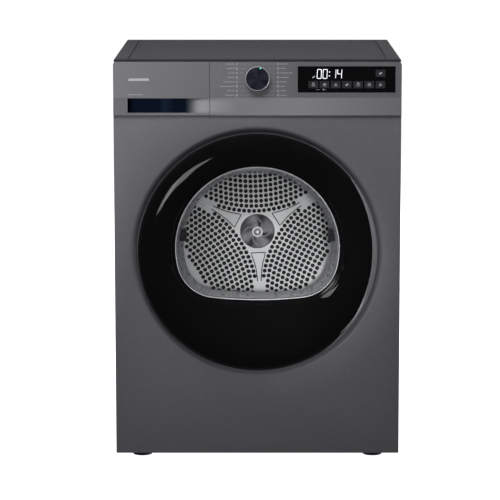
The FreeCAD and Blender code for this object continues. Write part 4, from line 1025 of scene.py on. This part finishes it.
def makeDial():
    x, z = dialBox["x"], dialBox["z"]
    front = dialBox["t0"]
    place = boxOf("dial_bezel")
    rear = place["t1"] - 0.3
    head = place["t0"] - 1.0
    radius = (dialBox["x1"] - dialBox["x0"]) / 2
    knob = ringPiece("dial_body", (x, z), [
        circle(0.05, rear), circle(radius - 5, rear, 0.3), circle(radius - 5, head, 0.5),
        circle(radius - 0.5, head, 0.6), circle(radius - 0.5, front + 2.4, 0.3), circle(radius - 2.2, front + 0.9, 0.3),
        circle(radius - 4.6, front + 1.1, 0.6), circle(0.05, front + 0.5)], count=128, capEnds=True)
    stem = rod("stem", x, z, 3.0, rear - 0.5, dialBox["t1"], 32)
    knob = joined("dial_body", [knob, stem])
    smooth(knob, 40)
    seat(knob, "dial", "spun_metal", replaces=("dial_knob",))
    collar = ringPiece("dial_collar", (x, z), [
        circle(radius - 0.4, head - 1.2), circle(radius, head - 1.2, 0.2), circle(radius, front + 1.0, 0.7),
        circle(radius - 1.2, front, 0.5), circle(radius - 2.3, front + 0.2, 0.3), circle(radius - 2.5, front + 1.4),
        circle(radius - 0.7, front + 2.6)], count=128, closed=True)
    seat(collar, "dial", "chrome_trim")
    dot = rod("dial_dot", x + 6.2, z + 21.6, 1.8, front + 0.1, front + 1.6, 24, 0.3)
    seat(dot, "dial", "spun_metal", extra["dot"])
    outer = (place["x1"] - place["x0"]) / 2
    inner = outer - 3.0
    bezel = ringPiece("dial_surround", (x, z), [
        circle(outer, place["t1"]), circle(outer, place["t0"] + 1.0, 0.6), circle(outer - 0.8, place["t0"], 0.5),
        circle(inner, place["t0"] + 0.2, 0.4), circle(inner, place["t1"])], count=128, closed=True)
    seat(bezel, "cabinet", "chrome_trim", replaces=("dial_bezel",))
    print("dial made")


makeDigits()
makeKeys()
makeLegend()
makeDial()

# ---------------------------------------------------------------- door
crown = door["t0"]


def makeDoor():
    centre = (door["x"], door["z"])
    radius = door["radius"]
    back = door["t1"]
    grip = boxOf("door_grip")
    shell = ringPiece("door_ring", centre, [
        circle(radius - 3.5, back), circle(radius, back, 1.0), circle(radius, -3.5, 1.4),
        circle(radius - 2.6, -8.0, 1.5), circle(radius - 9.5, -15.2, 5), circle(radius - 21, crown + 3.0, 8),
        circle(radius - 38, crown + 0.1, 10), mixRing(radius - 55, 30, 0.15, crown + 1.2, 10),
        mixRing(radius - 66, 20, 0.55, crown + 4.6, 8), deeRing(15.5, crown + 7.6, 4),
        deeRing(12.2, crown + 8.4, 0.8), deeRing(10.8, crown + 10.6, 0.8), deeRing(6.5, crown + 11.6, 1.2), deeRing(3.6, crown + 13.2, 0.8), deeRing(3.1, crown + 16, 0.5),
        deeRing(3.1, back), mixRing(192, 22, 0.0, back), circle(192, crown + 14, 4),
        circle(214, crown + 5.5, 6), circle(radius - 14, -11, 5), circle(radius - 3.5, -2, 2)],
        count=256, closed=True, deeZ=windowZ)
    seat(shell, "door", "black_gloss", replaces=("door_front_ring",))
    strip = gripStrip(centre, radius)
    seat(strip, "door", "chrome_trim", extra["grip"], replaces=("door_grip",))
    bowl = ringPiece("door_glass", centre, [
        deeRing(2.7, -11.5), deeRing(-12.0, back + 27.5, 14), deeRing(-120 + 40, back + 29.6, 10),
        deeRing(-101.9, back + 30), deeRing(-101.9, back + 26), deeRing(-120 + 36, back + 25.6, 10),
        deeRing(-16.0, back + 23.5, 12), deeRing(-1.3, -11.5)], count=192, closed=True, deeZ=windowZ)
    flange = ringPiece("flange", centre, [
        deeRing(12, back + 0.05), deeRing(12, back + 2, 0.5), deeRing(-4.9, back + 2), deeRing(-4.4, back + 0.05)],
        count=192, closed=True, deeZ=windowZ)
    bowl = joined("door_glass", [bowl, flange])
    rim = ringPiece("door_window_rim", centre, [
        deeRing(2.9, -9.0), deeRing(2.9, -12.6, 0.5), deeRing(1.3, -12.8, 0.5), deeRing(0.9, -10.0, 0.4),
        deeRing(1.6, -9.0)], count=192, closed=True, deeZ=windowZ)
    seat(rim, "door", "clear_window", extra["rim"])
    seat(bowl, "door", "clear_window", replaces=("door_window_bowl",))
    for part, width in (("door_back_frame", 0.5), ("door_hinge_arm", 0.8), ("door_latch_hook", 0.5)):
        refined(part, width)
    frameBox = boxOf("door_back_frame")
    screws = [makeScrew("screw", centre[0] + 219 * cos(angle), centre[1] + 219 * sin(angle), frameBox["t1"],
                        3.6, "door", 1) for angle in [step * pi / 4 + 0.39 for step in range(8)]]
    seat(joined("door_screws", screws), "door", "stainless", finishes["stainless"])
    print("door made")


def gripStrip(centre, radius):
    # a bright crescent set into the ring's right edge, widest a little below the middle
    count = 72
    half = radians(47)
    tilt = radians(-8)
    deselect()
    bpy.ops.mesh.primitive_grid_add(x_subdivisions=count, y_subdivisions=4, size=1)
    piece = bpy.context.object
    piece.name = "door_grip_strip"
    for vertex in piece.data.vertices:
        along = vertex.co.x * 2
        across = vertex.co.y + 0.5
        angle = tilt + along * half
        wide = 10.0 * (cos(along * half) - cos(half)) / (1 - cos(half)) + 0.15
        inward = wide * (1 - across)
        reach = radius - 0.1 - inward
        t = -3.6 - (inward * 1.73 if inward < 2.6 else 4.5 + (inward - 2.6) * 1.05)
        vertex.co = at(centre[0] + reach * cos(angle), t, centre[1] + reach * sin(angle))
    only(piece)
    bpy.ops.object.mode_set(mode="EDIT")
    bpy.ops.mesh.select_all(action="SELECT")
    bpy.ops.mesh.normals_make_consistent(inside=False)
    bpy.ops.object.mode_set(mode="OBJECT")
    if piece.data.polygons[len(piece.data.polygons) // 2].normal.y > 0:
        piece.data.flip_normals()
    wall = piece.modifiers.new("wall", "SOLIDIFY")
    wall.thickness = 0.8 * mm
    wall.offset = 0.6
    applyAll(piece)
    smooth(piece, 50)
    return piece


makeDoor()
refined("hinge_bracket", 0.8)
refined("latch_housing", 0.5)


def makeThroat():
    place = boxOf("front_bulkhead")
    start = place["t0"]
    end = start + 46
    lining = ringPiece("loading_throat", (0, openingZ), [
        deeRing(-0.02, start), deeRing(-0.02, start + 5, 2, taper=1.3), deeRing(-1.2, start + 8, 2, taper=2.1),
        deeRing(-1.2, end - 6, 2, taper=10.4), deeRing(-0.05, end - 3, 1.5, taper=11.2), deeRing(-0.05, end, 1, taper=12.0),
        deeRing(2.0, end + 0.05, 1, taper=12.0)], count=192)
    wall = lining.modifiers.new("wall", "SOLIDIFY")
    wall.thickness = 0.6 * mm
    applyAll(lining)
    smooth(lining)
    seat(lining, "cabinet", "grey_plastic", extra["lining"])
    seal = ringPiece("door_gasket", (0, openingZ), [
        deeRing(1.0, start), deeRing(0.6, start - 4, 1.5), deeRing(2.4, start - 7.4, 1.0), deeRing(5.0, start - 7.9, 1.2),
        deeRing(6.2, start - 5.4, 1.0), deeRing(7.6, start - 6.6, 0.8), deeRing(9.0, start - 4.6, 1.0),
        deeRing(9.0, start)], count=192, closed=True)
    seat(seal, "cabinet", "seal_rubber", replaces=("door_seal",))
    for side in (-1, 1):
        pad = boxPiece("sensor_pad", side * 157.5 - 9.0, side * 157.5 + 9.0, start + 10, start + 32, 463, 488, 1.5, 3)
        pad.name = "sensor_pad_left" if side < 0 else "sensor_pad_right"
        seat(pad, "cabinet", "black_plastic")
    print("throat made")


makeThroat()

# ---------------------------------------------------------------- drum
drum = boxOf("drum_shell")
drumZ = drum["z"]
wallT = boxOf("drum_rear_wall")["t1"] - 1.2
holes = {"pitch": 11.3, "radius": 4.75, "first": 46.0, "bow": 246.0, "outer": 166.0, "sides": 14,
         "spare": 6.1, "turn": radians(2.3)}
spoke = [(51.0, 15.0), (60, 12.6), (72, 8.8), (88, 5.4), (108, 3.4), (131, 2.6)]    # reach from the axis, half width


def spokeHalf(reach):
    for (near, wide), (far, slim) in zip(spoke, spoke[1:]):
        if reach < far:
            return wide + (slim - wide) * (max(reach, near) - near) / (far - near)
    return spoke[-1][1]


def holePlaces():
    places = []
    for row in range(11):
        for column in range(-14, 15):
            across = (column + 0.5) * holes["pitch"] if row == 0 else column * holes["pitch"]
            rise = holes["first"] + row * holes["pitch"] + holes["bow"] - sqrt(holes["bow"] ** 2 - across ** 2)
            reach = hypot(across, rise)
            bearing = abs(atan2(across, rise))
            edge = reach * cos(radians(60) - bearing)
            aside = reach * sin(radians(60) - bearing)
            clear = aside > spokeHalf(edge) + holes["spare"]
            if bearing < radians(60) and clear and reach < holes["outer"]:
                places.append((across, rise))
    return places


def makeDrumWall():
    edge = drum["x1"] - 1.7
    profile = [(14, wallT), (100, wallT), (132, wallT - 1.0), (150, wallT - 4.5), (166, wallT - 11), (176, wallT - 12)]
    profile += [(222, wallT - 12), (250, wallT - 3), (edge, wallT)]
    front = [circle(radius, t, 3.0 if 14 < radius < edge else 0) for radius, t in profile]
    behind = [circle(radius, t + 1.0, 3.0 if 14 < radius < edge else 0) for radius, t in reversed(profile)]
    plate = ringPiece("drum_back_plate", (0, drumZ), front + behind, count=144, closed=True)
    punches = []
    first = rod("punch", 0, 0, holes["radius"], wallT - 26, wallT + 8, holes["sides"])
    for sector in range(3):
        turned = radians(120) * sector + holes["turn"]
        for across, rise in holePlaces():
            punch = copyOf(first, "punch")
            x = across * cos(turned) - rise * sin(turned)
            z = across * sin(turned) + rise * cos(turned)
            punch.data.transform(Matrix.Translation((x * mm, 0, (drumZ + z) * mm)))
            punches.append(punch)
    bpy.data.objects.remove(first)
    cutter = joined("punches", punches)
    cutAway(plate, cutter, "FAST")
    smooth(plate, 28)
    seat(plate, "drum", "stainless", replaces=("drum_rear_wall",))
    # a near-black sheet close behind the perforated plate: painted shade that makes the holes read dark
    paintedShadeSheet = ringPiece("drum_rear_painted_shade", (0, drumZ), [
        circle(13.5, wallT + 1.6), circle(130, wallT + 1.6), circle(150, wallT - 1.5), circle(168, wallT - 7.6),
        circle(220, wallT - 8.4), circle(220, wallT - 8.0), circle(168, wallT - 7.0), circle(150, wallT - 0.9),
        circle(130, wallT + 2.2), circle(13.5, wallT + 2.2)], count=96, closed=True)
    seat(paintedShadeSheet, "drum", "black_plastic", extra["shade"])
    print("drum wall made with", len(punches), "holes")


makeDrumWall()


def spokePlate(name, angle, spare, t0, t1, bevel):
    # waisted plate that narrows outwards along the drum's wall
    deselect()
    bpy.ops.mesh.primitive_grid_add(x_subdivisions=1, y_subdivisions=len(spoke) - 1, size=1)
    piece = bpy.context.object
    piece.name = name
    for vertex in piece.data.vertices:
        place = round((vertex.co.y + 0.5) * (len(spoke) - 1))
        reach, half = spoke[place]
        reach += spare * (-1 if place == 0 else 1 if place == len(spoke) - 1 else 0)
        vertex.co = at((half + spare) * (1 if vertex.co.x > 0 else -1), t1, drumZ + reach)
    wall = piece.modifiers.new("wall", "SOLIDIFY")
    wall.thickness = (t1 - t0) * mm
    wall.offset = 1 if piece.data.polygons[0].normal.y < 0 else -1
    applyAll(piece)
    if bevel:
        roundOff(piece, bevel, 2, 40)
    smooth(piece, 40)
    turnAbout(piece, 0, drumZ, angle)
    return piece


def makeSpokes():
    bright, dark = [], []
    for step in range(3):
        angle = radians(180 + step * 120) + holes["turn"]
        # each spoke sits on a slightly larger black plate, a painted shadow outline round it
        dark.append(spokePlate("shadow", angle, 2.1, wallT - 0.5, wallT + 0.4, 0))
        bright.append(spokePlate("spoke", angle, 0.0, wallT - 1.5, wallT + 0.4, 0.5))
    for step in (1, 2):
        angle = radians(180 + step * 120) + holes["turn"]
        for side in (-1, 1):
            rib = boxPiece("rib", side * 3.2 - 0.9, side * 3.2 + 0.9, wallT - 14, wallT - 1, drumZ + 133, drumZ + 176,
                           0.6)
            turnAbout(rib, 0, drumZ, angle)
            bright.append(rib)
    seat(joined("drum_spokes", bright), "drum", "stainless")
    seat(joined("drum_spoke_painted_shadow", dark), "drum", "stainless", finishes["black_plastic"])


def makeHub():
    radius = (hubBox["x1"] - hubBox["x0"]) / 2
    front, back = hubBox["t0"], hubBox["t1"]
    disc = ringPiece("hub_disc", (0, drumZ), [
        circle(0.05, back), circle(radius, back, 0.5), circle(radius, back - 6, 2), circle(radius - 3.5, front + 6.5, 1.5),
        circle(radius - 5, front + 7.5, 1), circle(13, front + 8.5, 1), circle(11, front + 4, 1), circle(0.05, front + 4)],
        count=96, capEnds=True)
    seat(disc, "drum", "spun_metal", extra["hubFacePaintedSheen"], replaces=("drum_hub",))
    vanes = []
    for step in range(8):
        deselect()
        bpy.ops.mesh.primitive_grid_add(x_subdivisions=10, y_subdivisions=2, size=1)
        vane = bpy.context.object
        for vertex in vane.data.vertices:
            u = vertex.co.x + 0.5
            across = vertex.co.y
            reach = 12.5 + (radius - 18.5) * u
            bend = 0.95 * u ** 1.3 + across * (3.0 + 4.5 * u) / reach
            lift = 3.0 * cos(across * pi) * sin(pi * min(1.0, u * 1.05 + 0.02)) + 0.2
            angle = step * pi / 4 + bend
            vertex.co = at(reach * cos(angle), front + 8.2 - lift, drumZ + reach * sin(angle))
        wall = vane.modifiers.new("wall", "SOLIDIFY")
        wall.thickness = 1.0 * mm
        applyAll(vane)
        vanes.append(vane)
    vanes = joined("hub_vanes", vanes)
    smooth(vanes, 40)
    seat(vanes, "drum", "spun_metal", extra["hubVane"])
    collar = ringPiece("hub_collar", (0, drumZ), [circle(10.6, front + 6), circle(10.6, front + 1.2, 0.8),
                       circle(9.2, front + 0.1, 0.5), circle(7.8, front + 0.6, 0.5), circle(7.6, front + 6)],
                       count=64, closed=True)
    bolt = rod("bolt", 0, drumZ, 4.6, front + 1.4, front + 6, 6, 0.5)
    seat(joined("hub_collar", [collar, bolt]), "drum", "spun_metal", finishes["stainless"])


def makeDrumShell():
    radius = drum["x1"]
    start, end = drum["t0"], drum["t1"]
    beads = []
    for middle in (start + 92, start + 198, start + 304):
        beads += [circle(radius - 1.2, middle - 11, 3), circle(radius - 4.6, middle, 5), circle(radius - 1.2, middle + 11, 3)]
    outer = [circle(262, start - 0.0, 1), circle(262.6, start + 1.0, 0.5), circle(radius - 5, start + 1.2, 4), circle(radius, start + 9, 3)]
    outer += [circle(ring[0] + 1.1, ring[4], 3) for ring in beads] + [circle(radius, end, 0.5)]
    inner = [circle(radius - 1.2, end, 0.5)] + list(reversed(beads)) + [circle(radius - 1.2, start + 9.5, 3),
                                                                       circle(radius - 6, start + 2.4, 4), circle(262, start + 2.2, 0.4)]
    shell = ringPiece("drum_barrel", (0, drumZ), outer + inner, count=160, closed=True)
    seat(shell, "drum", "stainless", replaces=("drum_shell",))
    refined("drum_lifters", 2.5, 3, 40)
    print("drum made")


makeSpokes()
makeHub()
makeDrumShell()

# ---------------------------------------------------------------- inside, drawer and feet
for part, width in (("front_bulkhead", 0.6), ("rear_bulkhead", 0.0), ("rear_panel", 0.0), ("base_tray", 0.8),
                    ("mains_gland", 0.4), ("air_duct", 0.8), ("drum_bearing", 0.5), ("fan_housing", 1.0),
                    ("condensate_pump", 0.8), ("compressor", 1.2), ("motor_housing", 0.8), ("idler_arm", 0.4),
                    ("tank_tray", 0.5), ("tank_body", 1.2)):
    refined(part, width)


def makeFilter():
    place = boxOf("lint_filter")
    refined("lint_filter", 0.7)
    slats = []
    for face in (place["t0"] + 3.8, place["t1"] - 3.8):
        for step in range(22):
            x = -92 + step * 8.76
            slats.append(boxPiece("slat", x - 0.35, x + 0.35, face - 0.5, face + 0.5, place["z0"] + 6, place["z1"] - 14))
    grid = joined("filter_mesh", slats)
    seat(grid, "filter", "filter_plastic")


makeFilter()
for name in bodyOf:
    if name.startswith("foot_"):
        refined(name, 0.3)
print("inside made")

# ---------------------------------------------------------------- floor, light and camera
deselect()
bpy.ops.mesh.primitive_plane_add(size=1)
floor = bpy.context.object
floor.name = "studio_floor"
for vertex in floor.data.vertices:
    vertex.co = Vector((vertex.co.x * 24, vertex.co.y * 24 + 6, -0.0005))
floorFinish, floorTree, floorSurface = startMaterial("studioFloor")
floorSurface.inputs["Base Color"].default_value = (0.93, 0.93, 0.93, 1.0)
floorSurface.inputs["Roughness"].default_value = 0.9
floorSurface.inputs["Specular IOR Level"].default_value = 0.1
floorSurface.inputs["Emission Color"].default_value = (1.0, 1.0, 1.0, 1.0)
floorSurface.inputs["Emission Strength"].default_value = 0.95
wear(floor, floorFinish)
floor.visible_glossy = False
floor.visible_diffuse = False

studio = {
    "world": {"seen": 1.0, "mirrored": 0.05, "soft": 0.10},
    "top": {"place": (-0.35, -1.35, 2.35), "aim": (0.0, -0.2, 0.75), "size": (1.5, 0.9), "power": 42.0,
            "mirror": False},
    "mid": {"place": (-0.6, -3.2, 2.2), "aim": (0.0, -0.3, 0.4), "size": (1.4, 0.9), "power": 25.0, "mirror": False,
            "shade": False},
    "far": {"place": (0.0, -8.2, 2.45), "aim": (0.0, 0.0, 0.42), "size": (0.7, 0.7), "power": 99.0,
            "mirror": False, "shade": False, "tint": (0.88, 0.90, 1.0)},
    "left": {"place": (-2.4, -1.9, 1.5), "aim": (-0.1, 0.0, 0.75), "size": (0.5, 1.2), "power": 3.6,
             "mirror": False},
    "eastSide": {"place": (3.2, 0.9, 1.7), "aim": (0.3, 0.0, 0.4), "size": (1.6, 1.6), "power": 50.0,
                 "mirror": False},
    "westSide": {"place": (-3.2, 0.9, 1.7), "aim": (-0.3, 0.0, 0.4), "size": (1.6, 1.6), "power": 50.0,
                 "mirror": False},
    "rear": {"place": (0.6, 3.6, 1.9), "aim": (0.0, 0.3, 0.4), "size": (1.6, 1.6), "power": 60.0, "mirror": False},
    "glare": {"place": (-1.02, -3.0, 1.08), "aim": (-0.18, -0.3, 0.5), "size": (0.7, 0.7), "power": 5.5,
              "soft": False},
    "streak": {"place": (-1.5, -3.0, 0.98), "aim": (-0.18, -0.3, 0.5), "size": (0.4, 0.7), "power": 3.4,
               "soft": False},
    "low": {"place": (1.1, 0.0, -0.55), "aim": (0.2, -0.28, 0.3), "size": (0.6, 0.5), "power": 3.0, "soft": False},
    "lamp": {"place": (0.1, -5.3, 1.2), "aim": (0.035, 0.1, 0.36), "cone": 4.0, "power": 1900.0, "mirror": False},
}


def makeLight(name, place, aim, power, size=None, mirror=True, soft=True, shade=True, cone=None,
              tint=(1.0, 1.0, 1.0)):
    lamp = bpy.data.lights.new(name, "SPOT" if cone else "AREA")
    if cone:
        lamp.spot_size = radians(cone)
        lamp.spot_blend = 0.5
        lamp.shadow_soft_size = 0.12
    else:
        lamp.shape = "RECTANGLE"
        lamp.size, lamp.size_y = size
    lamp.energy = power
    lamp.color = tint
    lamp.use_shadow = shade
    holder = bpy.data.objects.new(name, lamp)
    bpy.context.collection.objects.link(holder)
    holder.location = place
    holder.rotation_euler = (Vector(aim) - Vector(place)).to_track_quat("-Z", "Y").to_euler()
    holder.visible_glossy = mirror
    holder.visible_diffuse = soft


for name in [entry for entry in studio if entry != "world"]:
    makeLight(name + "_light", **studio[name])

scene = bpy.context.scene
world = bpy.data.worlds.new("studio")
scene.world = world
world.use_nodes = True
air = world.node_tree
air.nodes.clear()
rays = node(air, "ShaderNodeLightPath")
seen = studio["world"]
strength = sumNode(air, "MULTIPLY_ADD", rays.outputs["Is Camera Ray"], seen["seen"] - seen["soft"], seen["soft"])
strength = sumNode(air, "MULTIPLY_ADD", rays.outputs["Is Glossy Ray"], seen["mirrored"] - seen["soft"], strength)
backdrop = node(air, "ShaderNodeBackground")
backdrop.inputs["Color"].default_value = (1.0, 1.0, 1.0, 1.0)
feed(air, backdrop.inputs["Strength"], strength)
out = node(air, "ShaderNodeOutputWorld")
air.links.new(backdrop.outputs[0], out.inputs["Surface"])

view = bpy.data.cameras.new("studioCamera")
camera = bpy.data.objects.new("studio_camera", view)
bpy.context.collection.objects.link(camera)
camera.location = (0.0, -5.4584, 1.2633)
camera.rotation_euler = (radians(90 - 8.937), 0.0, 0.0)
view.lens = 180.92
view.sensor_width = 36.0
view.shift_x = -0.0148
scene.camera = camera
scene.view_settings.view_transform = "Standard"
